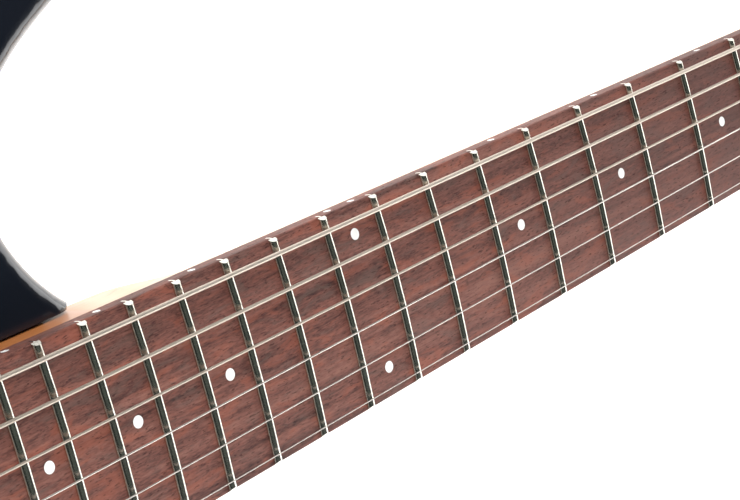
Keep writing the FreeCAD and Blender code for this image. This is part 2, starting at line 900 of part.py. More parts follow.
def buildTrussRodNut():
    body = rod(rodNutRadius, Vector(rodNutStart, 0, rodAxis), Vector(rodNutEnd, 0, rodAxis))
    bore = rod(rodRadius + shaftFit, Vector(rodNutStart - margin, 0, rodAxis),
               Vector(rodNutEnd - 3.8, 0, rodAxis))
    socket = hexagon(2 * rodNutSocket, 0, 0, 0, 5.0)
    socket.Placement = Placement(Vector(rodNutEnd + margin, 0, rodAxis),
                                 Rotation(Vector(0, 0, 1), Vector(-1, 0, 0)))
    return body.cut([bore, socket])


def buildCover():
    x, z = coverPlan()
    plate = roundedBlock(coverLength, coverWidth, coverRound, x, 0, z, z + coverThickness)
    plate = plate.makeChamfer(0.7, levelEdges(plate, z + coverThickness))
    return plate.cut([trimScrewHole(at, (0, 0, -1)) for at in coverScrews()])


def buildTree(pair):
    first = treePoint(pair[0])
    second = treePoint(pair[1])
    lift = stringDiameters[pair[0]] / 2 + treeBarRadius + stringFit
    low = min(first.y, second.y) - treeOverhang
    high = max(first.y, second.y) + treeOverhang
    x = first.x
    z = headFace + treeHeight + lift
    bar = rod(treeBarRadius, Vector(x, low, z), Vector(x, high, z))
    flat = block(x - 9, x + 9, low - margin, high + margin, z + treeBarRadius * 0.55, z + 9)
    bar = bar.cut(flat)
    middle = treeMiddle(pair)
    post = upright(treePostRadius, x, middle.y, headFace - treeScrewDepth, z)
    head = upright(treePostRadius + 0.9, x, middle.y, z + treeBarRadius * 0.3, z + treeBarRadius)
    slot = block(x - 4, x + 4, middle.y - 0.35, middle.y + 0.35, z + treeBarRadius - 0.7, z + 9)
    return bar.multiFuse([post, head]).cut(slot).removeSplitter()


keep("neck", buildNeck())
keep("nut", buildNut())
keep("truss_rod", buildTrussRod())
keep("truss_rod_nut", buildTrussRodNut())
keep("truss_rod_cover", buildCover())
keep("string_trees", [buildTree(pair) for pair in treeStrings()])
trims = [trimScrew(at, (0, 0, -1)) for at in coverScrews()]



# ---- tuners ------------------------------------------------------------------------------
# Each tuner is drawn about its post, with X along the line of posts and Y out towards the
# head's bass edge, and then set in its place.
gearPitchRadius = gearModule * gearTeeth / 2
gearLevel = headBack - housingHeight / 2
wormAt = gearPitchRadius + wormPitchRadius
wormPitch = math.pi * gearModule
threadTop = wormPitchRadius + 0.6
buttonStart = postToEdge + buttonGap
housingLow = housingOffset - housingWidth / 2
housingHigh = housingOffset + housingWidth / 2
bushingTop = headFace + washerThickness + bushingHexHeight
waistLow = headFace + 5.2
waistHigh = headFace + 13.2


def seatTuner(shape, index):
    shape.Placement = Placement(postCentre(index), Rotation(Vector(0, 0, 1), postLineTurn))
    return shape


def buildHousing():
    half = housingLength / 2
    case = block(housingLow, housingHigh, -half, half, headBack - housingHeight, headBack)
    edges = [edge for edge in case.Edges if edge.BoundBox.ZMin < headBack - 0.01]
    case = case.makeFillet(housingRound, edges)
    earEnd = housingLow - earLength
    ear = block(earEnd, housingLow + 2 * housingRound, -earLength * 0.6, earLength * 0.6,
                headBack - earThickness, headBack)
    corners = [edge for edge in ear.Edges if edge.BoundBox.ZLength > 1.0 and edge.BoundBox.XMax < earEnd + 0.01]
    ear = ear.makeFillet(earLength * 0.5, corners)
    screwHole = upright(trimScrewRadius, housingLow - earLength / 2, 0, headBack - housingHeight,
                        headBack + margin)
    gearRoom = upright(gearPitchRadius + 0.95, 0, 0, gearLevel - gearThickness / 2 - 0.3,
                       gearLevel + gearThickness / 2 + 0.3)
    wormRoom = wormTurns * wormPitch / 2 + 0.4
    wormHollow = rod(threadTop + 0.4, Vector(wormAt, -wormRoom, gearLevel),
                     Vector(wormAt, wormRoom, gearLevel))
    keyBore = rod(keyShaftRadius + keyFit, Vector(wormAt, -half + 1.2, gearLevel),
                  Vector(wormAt, half + margin, gearLevel))
    lowBore = upright(gearBore + postFit, 0, 0, headBack - housingHeight + 1.0, gearLevel)
    highBore = upright(postRadius + postFit, 0, 0, gearLevel, headBack + margin)
    return case.fuse(ear).cut([screwHole, gearRoom, wormHollow, keyBore, lowBore, highBore]).removeSplitter()


def buildGear():
    root = gearPitchRadius - 0.85
    tip = gearPitchRadius + 0.45
    points = []
    for tooth in range(gearTeeth):
        middle = 360.0 * (tooth + 0.5) / gearTeeth
        for radius, turn in ((root, -5.6), (tip, -2.4), (tip, 2.4), (root, 5.6)):
            angle = math.radians(middle + turn)
            points.append((radius * math.cos(angle), radius * math.sin(angle)))
    blankGear = prism(points, gearLevel - gearThickness / 2, gearLevel + gearThickness / 2)
    return blankGear.cut(upright(gearBore, 0, 0, headBack - housingHeight, headBack))


def buildWorm():
    # A right-handed thread, centred on the gear, with a thread's flank towards each tooth gap.
    steps = 12
    length = wormTurns * wormPitch
    sections = []
    for step in range(wormTurns * steps + 1):
        angle = 2 * math.pi * step / steps
        corners = []
        for radius, rise in ((wormCoreRadius - 0.25, -0.42), (threadTop, -0.14), (threadTop, 0.14),
                             (wormCoreRadius - 0.25, 0.42)):
            corners.append(Vector(radius * math.cos(angle), radius * math.sin(angle),
                                  wormPitch * step / steps + rise))
        sections.append(Part.makePolygon(corners + corners[:1]))
    worm = Part.makeLoft(sections, True, True)
    worm.translate(Vector(0, 0, -length / 2))
    worm.rotate(Vector(0, 0, 0), Vector(1, 0, 0), -90)
    worm.rotate(Vector(0, 0, 0), Vector(0, 1, 0), 180)
    worm.translate(Vector(wormAt, 0, gearLevel))
    return worm


def buildKey():
    half = housingLength / 2
    shaftEnd = wormTurns * wormPitch / 2 + 0.3
    inner = rod(keyShaftRadius, Vector(wormAt, -half + 1.4, gearLevel), Vector(wormAt, -shaftEnd, gearLevel))
    outer = rod(keyShaftRadius, Vector(wormAt, shaftEnd, gearLevel),
                Vector(wormAt, buttonStart + 1.5, gearLevel))
    collar = Part.makeCone(1.9, 3.1, 2.6, Vector(wormAt, buttonStart - 1.6, gearLevel), Vector(0, 1, 0))
    button = roundedBlock(buttonWidth, buttonLength, buttonWidth * 0.42, wormAt,
                          buttonStart + buttonLength / 2,
                          gearLevel - buttonThickness / 2, gearLevel + buttonThickness / 2)
    rims = []
    for side in (-1, 1):
        rims += levelEdges(button, gearLevel + side * buttonThickness / 2)
    button = button.makeFillet(buttonThickness * 0.4, rims)
    core = rod(wormCoreRadius, Vector(wormAt, -shaftEnd - margin, gearLevel),
               Vector(wormAt, shaftEnd + margin, gearLevel))
    stem = core.multiFuse([inner, outer, collar, button]).removeSplitter()
    return stem.fuse(buildWorm())


def buildPost(index):
    top = headFace + postHeight
    gearTop = gearLevel + gearThickness / 2
    lower = upright(gearBore, 0, 0, headBack - housingHeight + 1.2, gearTop)
    upper = upright(postRadius, 0, 0, gearTop, top)
    post = lower.fuse(upper).removeSplitter()
    waist = upright(postRadius + margin, 0, 0, waistLow, waistHigh)
    waist = waist.cut(upright(postWaistRadius, 0, 0, waistLow, waistHigh))
    hole = rod(stringHoleRadius, Vector(-postRadius - margin, 0, waistHigh - 1.6),
               Vector(postRadius + margin, 0, waistHigh - 1.6))
    post = post.cut([waist, hole])
    post = post.makeFillet(0.6, levelEdges(post, top))
    pieces = [post, buildGear()]
    for turn in range(wrapTurns):
        level = headFace + wrapHeight + turn * (stringDiameters[index] + stringFit)
        pieces.append(Part.makeTorus(wrapRadius(index), stringDiameters[index] / 2, Vector(0, 0, level)))
    return Part.makeCompound(pieces)


def buildBushing():
    barrel = upright(bushingRadius, 0, 0, headBack, bushingTop)
    nutRing = hexagon(bushingHex, 0, 0, headFace + washerThickness, bushingTop)
    nutRing = nutRing.common(Part.makeCone(bushingHex * 0.68, bushingHex * 0.5, bushingHexHeight + 0.6,
                                           Vector(0, 0, headFace + washerThickness)))
    return barrel.fuse(nutRing).cut(upright(postRadius + bushingFit, 0, 0, headBack - margin,
                                            bushingTop + margin))


def buildWasher():
    ring = upright(washerRadius, 0, 0, headFace, headFace + washerThickness)
    ring = ring.makeFillet(0.5, levelEdges(ring, headFace + washerThickness))
    return ring.cut(upright(bushingRadius, 0, 0, headFace - margin, headFace + 2 * washerThickness))


housing = buildHousing()
key = buildKey()
bushing = buildBushing()
washer = buildWasher()
keep("tuner_housings", [seatTuner(housing.copy(), index) for index in range(stringCount)])
keep("tuner_bushings", [seatTuner(part.copy(), index)
                        for index in range(stringCount) for part in (bushing, washer)])
for index in range(stringCount):
    number = stringCount - index
    keep("tuner_%d_key" % number, seatTuner(key.copy(), index))
    keep("tuner_%d_post" % number, seatTuner(buildPost(index), index))
    trims.append(trimScrew(housingEarPoint(index), (0, 0, 1)))


# ---- bridge --------------------------------------------------------------------------------
stringPitch = bridgeSpread / (stringCount - 1)
saddleRear = saddleFront - saddleLength
saddleWidth = stringPitch - saddleGap
intonationLevel = plateTop + intonationHeight


def bendCentre(before, corner, after, radius):
    back = (before - corner).normalize()
    ahead = (after - corner).normalize()
    half = back.getAngle(ahead) / 2.0
    return corner + (back + ahead).normalize() * (radius / math.sin(half))


def bridgeScrewPlaces():
    return [(bridgeScrewX, stringPitch * step) for step in (-3, -1, 1, 3)]


def buildBridgePlate():
    half = bridgeWidth / 2
    plate = roundedBlock(bridgeLength, bridgeWidth, bridgeRound, (bridgeFront + bridgeRear) / 2, 0,
                         bodyThickness, plateTop)
    wall = block(bridgeRear, bridgeRear + bridgeWallThickness, -half, half, bodyThickness,
                 bodyThickness + bridgeWallHeight)
    wall = wall.makeFillet(bridgeRound, [edge for edge in wall.Edges if edge.BoundBox.XLength > 1.0
                                         and edge.BoundBox.ZMin > bodyThickness + 1.0])
    plate = plate.fuse(wall).removeSplitter()
    tools = []
    for index in range(stringCount):
        y = stringBridgeY(index)
        tools.append(upright(plateHoleRadius, stringHoleX, y, bodyThickness - margin, plateTop + margin))
        tools.append(rod(intonationRadius + 0.1, Vector(bridgeRear - margin, y, intonationLevel),
                         Vector(bridgeRear + bridgeWallThickness + margin, y, intonationLevel)))
    for x, y in bridgeScrewPlaces():
        tools.append(buildBridgeScrew(x, y))
    return plate.cut(tools)


def buildBridgeScrew(x, y):
    # Its countersunk head lies flush with the plate.
    cone = Part.makeCone(bridgeScrewRadius, bridgeScrewHeadRadius, bridgeScrewHeadRadius - bridgeScrewRadius,
                         Vector(x, y, plateTop - bridgeScrewHeadRadius + bridgeScrewRadius))
    shank = upright(bridgeScrewRadius, x, y, plateTop - bridgeScrewLength, plateTop - 0.5)
    return shank.fuse(cone).removeSplitter()


def crossSlotted(screw, x, y, top):
    for along, across in ((2.2, 0.4), (0.4, 2.2)):
        screw = screw.cut(block(x - along, x + along, y - across, y + across, top - 1.1, top + margin))
    return screw


def buildSaddle(index):
    y = stringBridgeY(index)
    corner = stringSaddlePoint(index)
    centre = bendCentre(plateHole(index), corner, stringNutPoint(index), saddleBend)
    crestRadius = saddleBend - stringDiameters[index] / 2 - stringFit
    low = plateTop + saddleLift
    rearTop = intonationLevel + saddleFlangeRise
    profile = [(saddleFront, low), (saddleFront, centre.z - 1.6), (centre.x + crestRadius * 0.7, centre.z),
               (centre.x - crestRadius, centre.z), (saddleRear + saddleFlangeThickness, rearTop),
               (saddleRear, rearTop), (saddleRear, low)]
    left = y - saddleWidth / 2
    right = y + saddleWidth / 2
    body = sideProfile(profile, left, right)
    crest = rod(crestRadius, Vector(centre.x, left, centre.z), Vector(centre.x, right, centre.z))
    half = saddleSlotWidth / 2
    tools = [block(saddleRear + saddleFlangeThickness, centre.x - crestRadius * 0.2, y - half, y + half,
                   low - margin, centre.z + crestRadius * 0.2),
             rod(intonationRadius, Vector(saddleRear - margin, y, intonationLevel),
                 Vector(intonationTipX, y, intonationLevel))]
    for side in (-1, 1):
        tools.append(upright(grubRadius, grubX, y + side * grubOffset, low - margin, centre.z + crestRadius))
    saddle = body.fuse(crest).cut(tools)
    run = tangentPath([plateHole(index), corner, stringNutPoint(index)], [saddleBend])
    section = Part.Wire(Part.makeCircle(stringDiameters[index] / 2 + stringFit, plateHole(index),
                                        corner - plateHole(index)))
    return saddle.cut(run.makePipeShell([section], True, False))


def buildGrub(index, side):
    y = stringBridgeY(index) + side * grubOffset
    screw = upright(grubRadius, grubX, y, plateTop, plateTop + grubHeight)
    return screw.cut(hexagon(grubSocket, grubX, y, plateTop + grubHeight - 1.6,
                             plateTop + grubHeight + margin))


def buildIntonationScrew(index):
    y = stringBridgeY(index)
    shank = rod(intonationRadius, Vector(bridgeRear - 0.2, y, intonationLevel),
                Vector(intonationTipX, y, intonationLevel))
    head = rod(intonationHeadRadius, Vector(bridgeRear - intonationHeadHeight, y, intonationLevel),
               Vector(bridgeRear, y, intonationLevel))
    screw = head.fuse(shank)
    for tall, wide in ((1.6, 0.3), (0.3, 1.6)):
        screw = screw.cut(block(bridgeRear - 4, bridgeRear - intonationHeadHeight + 0.8, y - wide, y + wide,
                                intonationLevel - tall, intonationLevel + tall))
    return screw.removeSplitter()


def buildIntonationSpring(index):
    start = bridgeRear + bridgeWallThickness + springWire
    return springCoil(start, stringBridgeY(index), intonationLevel, saddleRear - springWire - start,
                      Vector(1, 0, 0))


def buildFerrule(index):
    y = stringBridgeY(index)
    shell = upright(ferruleRadius, stringHoleX, y, 0, ferruleDepth)
    shell = shell.makeChamfer(0.4, levelEdges(shell, 0))
    return shell.cut([upright(ferruleBore, stringHoleX, y, -margin, ferruleBoreDepth),
                      upright(ferruleHole, stringHoleX, y, 0, ferruleDepth + margin)])


everyString = range(stringCount)
keep("bridge_plate", buildBridgePlate())
keep("bridge_saddles", [buildSaddle(index) for index in everyString])
keep("saddle_height_screws", [buildGrub(index, side) for index in everyString for side in (-1, 1)])
keep("intonation_screws", [build(index) for index in everyString
                           for build in (buildIntonationScrew, buildIntonationSpring)])
keep("bridge_screws", [crossSlotted(buildBridgeScrew(x, y), x, y, plateTop) for x, y in bridgeScrewPlaces()])
keep("string_ferrules", [buildFerrule(index) for index in everyString])


# ---- pickups -----------------------------------------------------------------------------
neckPickupX = boardEnd - neckRingGap - ringWidth / 2
bridgePickupX = bridgeFront + bridgeRingGap + ringWidth / 2
pickupXs = [neckPickupX, bridgePickupX]
ringTopLevel = bodyThickness + ringHeight
bobbinTop = ringTopLevel + pickupRise
bobbinLow = bobbinTop - bobbinHeight
basePlateTop = bobbinLow - pickupMagnetHeight
pickupWidth = 2 * bobbinWidth + bobbinGap
basePlateHalfY = pickupLength / 2 + basePlateMargin
basePlateHalfX = pickupWidth / 2 + basePlateMargin
earWidth = 12.0
earReach = basePlateHalfY + basePlateEar
cavityFloor = bodyThickness - cavityDepth
heightScrewRadius = 1.2
heightScrewTail = 3.5
polePitches = [polePitch * (step - (stringCount - 1) / 2) for step in range(stringCount)]
coilOffset = (bobbinWidth + bobbinGap) / 2


def ringScrewPlaces(x):
    reachX = ringWidth / 2 - ringScrewInset
    reachY = ringLength / 2 - ringScrewInset
    return [Vector(x + sideX * reachX, sideY * reachY, ringTopLevel)
            for sideX in (-1, 1) for sideY in (-1, 1)]


def buildRing(x):
    ring = roundedBlock(ringWidth, ringLength, ringRound, x, 0, bodyThickness, ringTopLevel)
    ring = ring.makeFillet(ringRound * 0.6, levelEdges(ring, ringTopLevel))
    opening = roundedBlock(pickupWidth + 2 * pickupFit, pickupLength + 2 * pickupFit, bobbinWidth / 2, x, 0,
                           bodyThickness - margin, ringTopLevel + margin)
    tools = [opening]
    for side in (-1, 1):
        y = side * heightScrewOffset
        tools.append(block(x - earWidth / 2 - pickupFit, x + earWidth / 2 + pickupFit,
                           y - basePlateEar * 0.55,
                           y + basePlateEar * 0.55, bodyThickness - margin, ringTopLevel - ringTop))
        tools.append(upright(heightScrewRadius + 0.1, x, y, bodyThickness, ringTopLevel + margin))
    tools += [trimScrewHole(at, (0, 0, -1)) for at in ringScrewPlaces(x)]
    return ring.cut(tools)


def buildBobbin(x, screwed):
    flange = 1.3
    waist = 1.0
    bobbin = stadium(pickupLength, bobbinWidth, x, 0, bobbinLow, bobbinTop)
    sleeve = stadium(pickupLength + 2 * margin, bobbinWidth + 2 * margin, x, 0, bobbinLow + flange,
                     bobbinTop - flange)
    coil = stadium(pickupLength - 2 * waist, bobbinWidth - 2 * waist, x, 0, bobbinLow, bobbinTop)
    bobbin = bobbin.cut(sleeve.cut(coil))
    bobbin = bobbin.makeFillet(0.5, levelEdges(bobbin, bobbinTop))
    return bobbin.cut([buildPole(x, y, screwed) for y in polePitches])


def buildPole(x, y, screwed):
    if not screwed:
        return upright(poleRadius, x, y, bobbinLow, bobbinTop)
    head = upright(poleRadius, x, y, bobbinTop - 1.4, bobbinTop + poleRise)
    shank = upright(poleRadius * 0.62, x, y, basePlateTop - basePlateThickness - 2.0, bobbinTop - 1.0)
    return head.fuse(shank).removeSplitter()


def slottedPole(x, y):
    screw = buildPole(x, y, True)
    slot = block(x - poleRadius, x + poleRadius, y - 0.4, y + 0.4, bobbinTop + poleRise - 0.9,
                 bobbinTop + poleRise + margin)
    slot.rotate(Vector(x, y, 0), Vector(0, 0, 1), 25.0)
    return screw.cut(slot)


def buildBasePlate(x):
    plate = roundedBlock(2 * basePlateHalfX, 2 * basePlateHalfY, 2.0, x, 0,
                         basePlateTop - basePlateThickness, basePlateTop)
    ears = roundedBlock(earWidth, 2 * earReach, 2.0, x, 0, basePlateTop - basePlateThickness, basePlateTop)
    tools = [buildPole(x + coilOffset, y, True) for y in polePitches]
    for side in (-1, 1):
        tools.append(upright(heightScrewRadius, x, side * heightScrewOffset, cavityFloor, bodyThickness))
    return plate.fuse(ears).removeSplitter().cut(tools)


def buildMagnet(x):
    keeper = 3.0
    magnet = block(x - 6.0, x + 6.0, -pickupLength * 0.45, pickupLength * 0.45, basePlateTop, bobbinLow)
    bar = block(x + coilOffset - keeper, x + coilOffset + keeper, -pickupLength * 0.45, pickupLength * 0.45,
                basePlateTop, bobbinLow)
    bar = bar.cut([buildPole(x + coilOffset, y, True) for y in polePitches])
    return [magnet, bar]


def buildHeightScrew(x, side):
    y = side * heightScrewOffset
    head = upright(2.2, x, y, ringTopLevel, ringTopLevel + 1.3)
    head = head.makeFillet(0.8, levelEdges(head, ringTopLevel + 1.3))
    shank = upright(heightScrewRadius, x, y, basePlateTop - heightScrewTail, ringTopLevel + 0.2)
    screw = head.fuse(shank).cut(block(x - 3, x + 3, y - 0.3, y + 0.3, ringTopLevel + 0.7, ringTopLevel + 3))
    start = basePlateTop + springWire
    return [screw.removeSplitter(),
            springCoil(x, y, start, ringTopLevel - ringTop - springWire - start, Vector(0, 0, 1))]


keep("pickup_rings", [buildRing(x) for x in pickupXs])
keep("pickup_bobbins", [buildBobbin(x + side * coilOffset, side > 0) for x in pickupXs for side in (-1, 1)])
keep("pickup_base_plates", [buildBasePlate(x) for x in pickupXs])
keep("pickup_magnets", [piece for x in pickupXs for piece in buildMagnet(x)])
poles = [slottedPole(x + coilOffset, y) for x in pickupXs for y in polePitches]
poles += [buildPole(x - coilOffset, y, False) for x in pickupXs for y in polePitches]
keep("pole_pieces", poles)
keep("pickup_height_screws", [piece for x in pickupXs for side in (-1, 1)
                              for piece in buildHeightScrew(x, side)])
for x in pickupXs:
    trims += [trimScrew(at, (0, 0, -1)) for at in ringScrewPlaces(x)]


# ---- controls ------------------------------------------------------------------------------
potTop = controlCeiling
potNutTop = bodyThickness + potWasherThickness + potNutHeight
knobLow = potNutTop + knobLift
shaftLow = potTop - potHeight + 2.0
shaftTop = knobLow + knobHeight - 3.0
leverPivot = controlCeiling - leverPivotDrop
switchTurn = math.degrees(math.atan2(controlPath[0][1] - controlPath[1][1],
                                     controlPath[0][0] - controlPath[1][0]))


def controlStroke(radius, z0, z1):
    # The rounded trough that follows the line of the controls.
    pieces = [upright(radius, x, y, z0, z1) for x, y in controlPath]
    for (x0, y0), (x1, y1) in zip(controlPath, controlPath[1:]):
        length = math.hypot(x1 - x0, y1 - y0)
        bar = block(0, length, -radius, radius, z0, z1)
        bar.rotate(Vector(0, 0, 0), Vector(0, 0, 1), math.degrees(math.atan2(y1 - y0, x1 - x0)))
        bar.translate(Vector(x0, y0, 0))
        pieces.append(bar)
    return pieces[0].multiFuse(pieces[1:]).removeSplitter()


def controlScrewPlaces():
    reach = controlRadius + coverLedge / 2
    places = []
    for end, inner in ((controlPath[0], controlPath[1]), (controlPath[-1], controlPath[-2])):
        length = math.hypot(end[0] - inner[0], end[1] - inner[1])
        places.append((end[0] + (end[0] - inner[0]) / length * reach,
                       end[1] + (end[1] - inner[1]) / length * reach))
    for before, at, after in zip(controlPath, controlPath[1:], controlPath[2:]):
        length = math.hypot(after[0] - before[0], after[1] - before[1])
        acrossX = -(after[1] - before[1]) / length
        acrossY = (after[0] - before[0]) / length
        for side in (-1, 1):
            places.append((at[0] + side * acrossX * reach, at[1] + side * acrossY * reach))
    return [Vector(x, y, coverPlateThickness - coverScrewSeat) for x, y in places]


def buildControlCover():
    plate = controlStroke(controlRadius + coverLedge - coverFit, 0, coverPlateThickness)
    tools = []
    for at in controlScrewPlaces():
        tools.append(trimScrewHole(at, (0, 0, 1)))
        tools.append(upright(trimScrewHeadRadius + 0.3, at.x, at.y, -margin, at.z))
    return plate.cut(tools)


def buildPot(place):
    x, y = place
    can = upright(potRadius, x, y, potTop - potHeight, potTop)
    can = can.makeFillet(1.2, levelEdges(can, potTop - potHeight))
    lug = block(x - 6.0, x + 6.0, y - potRadius - 4.0, y - potRadius + 2.0, potTop - 3.0, potTop - 1.6)
    bush = upright(potBushRadius, x, y, potTop - 0.5, potNutTop + 0.4)
    bore = upright(shaftRadius + shaftFit, x, y, shaftLow - 0.2, potNutTop + margin)
    return can.multiFuse([lug, bush]).cut(bore).removeSplitter()


def buildPotNut(place):
    x, y = place
    washerRing = upright(potWasherRadius, x, y, bodyThickness, bodyThickness + potWasherThickness)
    nutBlock = hexagon(potNutHex, x, y, bodyThickness + potWasherThickness, potNutTop)
    core = upright(potBushRadius, x, y, bodyThickness - margin, potNutTop + margin)
    return [washerRing.cut(core), nutBlock.cut(core)]


def buildKnob(place):
    x, y = place
    knob = Part.makeCone(knobRadius, knobTopRadius, knobHeight, Vector(x, y, knobLow))
    knob = knob.makeFillet(1.0, levelEdges(knob, knobLow + knobHeight))
    tools = [upright(knobHollowRadius, x, y, knobLow - margin, knobLow + knobHollowDepth),
             upright(shaftRadius, x, y, knobLow, shaftTop),
             block(x + 2.0, x + knobRadius, y - 0.5, y + 0.5, knobLow + knobHeight - 0.5,
                   knobLow + knobHeight + margin)]
    for flute in range(knobFlutes):
        angle = 2 * math.pi * (flute + 0.5) / knobFlutes
        low = Vector(x + (knobRadius + 0.1) * math.cos(angle), y + (knobRadius + 0.1) * math.sin(angle),
                     knobLow + 2.0)
        high = Vector(x + (knobTopRadius + 0.1) * math.cos(angle),
                      y + (knobTopRadius + 0.1) * math.sin(angle),
                      knobLow + knobHeight + margin)
        tools.append(rod(knobFluteRadius, low, high))
    return knob.cut(tools)


def buildShaft(place):
    return upright(shaftRadius, place[0], place[1], shaftLow, shaftTop)


def seatSwitch(shape):
    # Drawn with the lever's slot along X over the origin, then turned in line with the controls.
    shape.rotate(Vector(0, 0, 0), Vector(0, 0, 1), switchTurn)
    shape.translate(Vector(switchAt[0], switchAt[1], 0))
    return shape


def leverSlot():
    return block(-leverSlotLength / 2, leverSlotLength / 2, -leverSlotWidth / 2, leverSlotWidth / 2,
                 leverPivot, bodyThickness + margin)


def leverSwingRoom():
    half = leverThickness / 2 + 0.4
    return block(-leverFrameLength / 2 + 2.0, leverFrameLength / 2 - 2.0, -half, half,
                 leverPivot - leverWidth, controlCeiling + margin)


def switchScrewPlaces():
    places = []
    for side in (-1, 1):
        angle = math.radians(switchTurn)
        reach = side * switchPitch / 2
        places.append(Vector(switchAt[0] + reach * math.cos(angle), switchAt[1] + reach * math.sin(angle),
                             bodyThickness))
    return places


def buildSwitch():
    top = controlCeiling
    plate = roundedBlock(switchLength, switchWidth, 2.0, 0, 0, top - switchPlateThickness, top)
    frame = block(-leverFrameLength / 2, leverFrameLength / 2, -leverFrameWidth / 2, leverFrameWidth / 2,
                  top - switchHeight, top - switchPlateThickness + 0.1)
    pin = rod(leverPivotRadius, Vector(0, -leverFrameWidth / 2, leverPivot),
              Vector(0, leverFrameWidth / 2, leverPivot))
    switch = plate.fuse(frame).cut([leverSlot(), leverSwingRoom()]).fuse(pin)
    for side in (-1, 1):
        switch = switch.cut(upright(trimScrewRadius, side * switchPitch / 2, 0, top - switchHeight,
                                    top + margin))
    return switch.removeSplitter()


def buildLever():
    half = leverThickness / 2
    blade = block(-leverWidth / 2, leverWidth / 2, -half, half, leverPivot, bodyThickness + leverRise)
    eye = rod(leverWidth * 0.75, Vector(0, -half, leverPivot), Vector(0, half, leverPivot))
    hole = rod(leverPivotRadius + shaftFit, Vector(0, -margin, leverPivot), Vector(0, margin, leverPivot))
    return blade.fuse(eye).cut(hole).removeSplitter()


def buildTip():
    low = bodyThickness + leverRise - tipLength * 0.6
    tip = roundedBlock(tipWidth, tipThickness, tipThickness * 0.45, 0, 0, low, low + tipLength)
    rims = levelEdges(tip, low) + levelEdges(tip, low + tipLength)
    return tip.makeFillet(tipThickness * 0.35, rims).cut(buildLever())


potPlaces = [volumeAt, toneAt]
keep("control_cover", buildControlCover())
keep("potentiometers", [buildPot(place) for place in potPlaces])
keep("pot_nuts", [piece for place in potPlaces for piece in buildPotNut(place)])
keep("volume_knob", buildKnob(volumeAt))
keep("tone_knob", buildKnob(toneAt))
keep("volume_shaft", buildShaft(volumeAt))
keep("tone_shaft", buildShaft(toneAt))
keep("selector_switch", seatSwitch(buildSwitch()))
keep("selector_lever", seatSwitch(buildLever()))
keep("selector_tip", seatSwitch(buildTip()))
trims += [trimScrew(at, (0, 0, -1)) for at in switchScrewPlaces()]
trims += [trimScrew(at, (0, 0, 1)) for at in controlScrewPlaces()]


# ---- jack, strap buttons and neck bolts ------------------------------------------------------
def outlineCurve(z):
    curve = Part.BSplineCurve()
    curve.interpolate([Vector(x, y, z) for x, y in bodyOutline])
    return curve


def outlineAt(x, low):
    # The outline's lower or upper edge, where it crosses a line across the body.
    line = Part.LineSegment(Vector(x, 0, 0), Vector(x, -bodyReach if low else bodyReach, 0)).toShape()
    return outlineCurve(0).toShape().distToShape(line)[1][0][0].y


jackSeat = outlineAt(jackX, True) + jackSpotDepth
jackMouth = jackSeat + jackMouthDrop
tailSeat = min(x for x, y in bodyOutline) + tailSpotDepth
hornSeat = bodyOutline[hornTip][0] - hornSpotDepth
hornY = bodyOutline[hornTip][1]
tailY = bodyOutline[tailPoint][1]


def jackRod(radius, start, end):
    return rod(radius, Vector(jackX, start, sideHoleHeight), Vector(jackX, end, sideHoleHeight))


def buildJackPlate():
    flange = jackRod(jackFlangeRadius, jackSeat, jackSeat - jackFlangeThickness)
    rim = [edge for edge in flange.Edges if edge.BoundBox.YMax < jackSeat - jackFlangeThickness + 0.01]
    flange = flange.makeFillet(1.0, rim)
    cup = jackRod(jackCupRadius, jackSeat, jackSeat + jackCupDepth)
    hollow = jackRod(jackCupRadius - jackCupWall, jackSeat - 2 * jackFlangeThickness,
                     jackSeat + jackCupDepth - jackCupWall)
    barrel = jackRod(jackBarrelRadius, jackSeat, jackSeat + 2 * jackCupDepth)
    return flange.fuse(cup).cut([hollow, barrel]).removeSplitter()


def buildJack():
    barrel = jackRod(jackBarrelRadius, jackMouth, jackMouth + jackLength)
    nutLow = jackSeat + jackCupDepth - jackCupWall
    collar = hexagon(jackNutHex, 0, 0, 0, jackNutHeight)
    collar.Placement = Placement(Vector(jackX, nutLow, sideHoleHeight),
                                 Rotation(Vector(0, 0, 1), Vector(0, -1, 0)))
    bore = jackRod(jackBore, jackMouth - margin, jackMouth + jackBoreLength)
    return barrel.fuse(collar).cut(bore).removeSplitter()


def buildStrapButton(seat, y, direction):
    # A waisted button held by a countersunk screw, both drawn along X.
    base = 2.6
    profile = [(0, 0), (0, strapBaseRadius), (base * 0.4, strapBaseRadius), (base, strapNeckRadius),
               (strapLength - 3.6, strapNeckRadius), (strapLength - 2.4, strapFlangeRadius),
               (strapLength - 0.8, strapFlangeRadius), (strapLength, strapFlangeRadius - 1.2),
               (strapLength, 0)]
    corners = [Vector(x, 0, z) for x, z in profile]
    button = Part.Face(Part.makePolygon(corners + corners[:1])).revolve(Vector(0, 0, 0), Vector(1, 0, 0), 360)
    screw = strapScrew()
    button = button.cut(screw)
    slots = [block(strapLength - 1.6, strapLength + 1, -2.6, 2.6, -0.45, 0.45),
             block(strapLength - 1.6, strapLength + 1, -0.45, 0.45, -2.6, 2.6)]
    pieces = [button, screw.cut(slots)]
    placed = []
    for piece in pieces:
        if direction < 0:
            piece.rotate(Vector(0, 0, 0), Vector(0, 0, 1), 180)
        piece.translate(Vector(seat, y, sideHoleHeight))
        placed.append(piece)
    return placed


def strapScrew():
    head = Part.makeCone(strapScrewRadius, 2.0 * strapScrewRadius, strapScrewRadius,
                         Vector(strapLength - strapScrewRadius - 0.4, 0, 0), Vector(1, 0, 0))
    shank = rod(strapScrewRadius, Vector(-strapScrewLength, 0, 0),
                Vector(strapLength - strapScrewRadius, 0, 0))
    cap = rod(2.0 * strapScrewRadius, Vector(strapLength - 0.4, 0, 0), Vector(strapLength, 0, 0))
    return head.multiFuse([shank, cap]).removeSplitter()


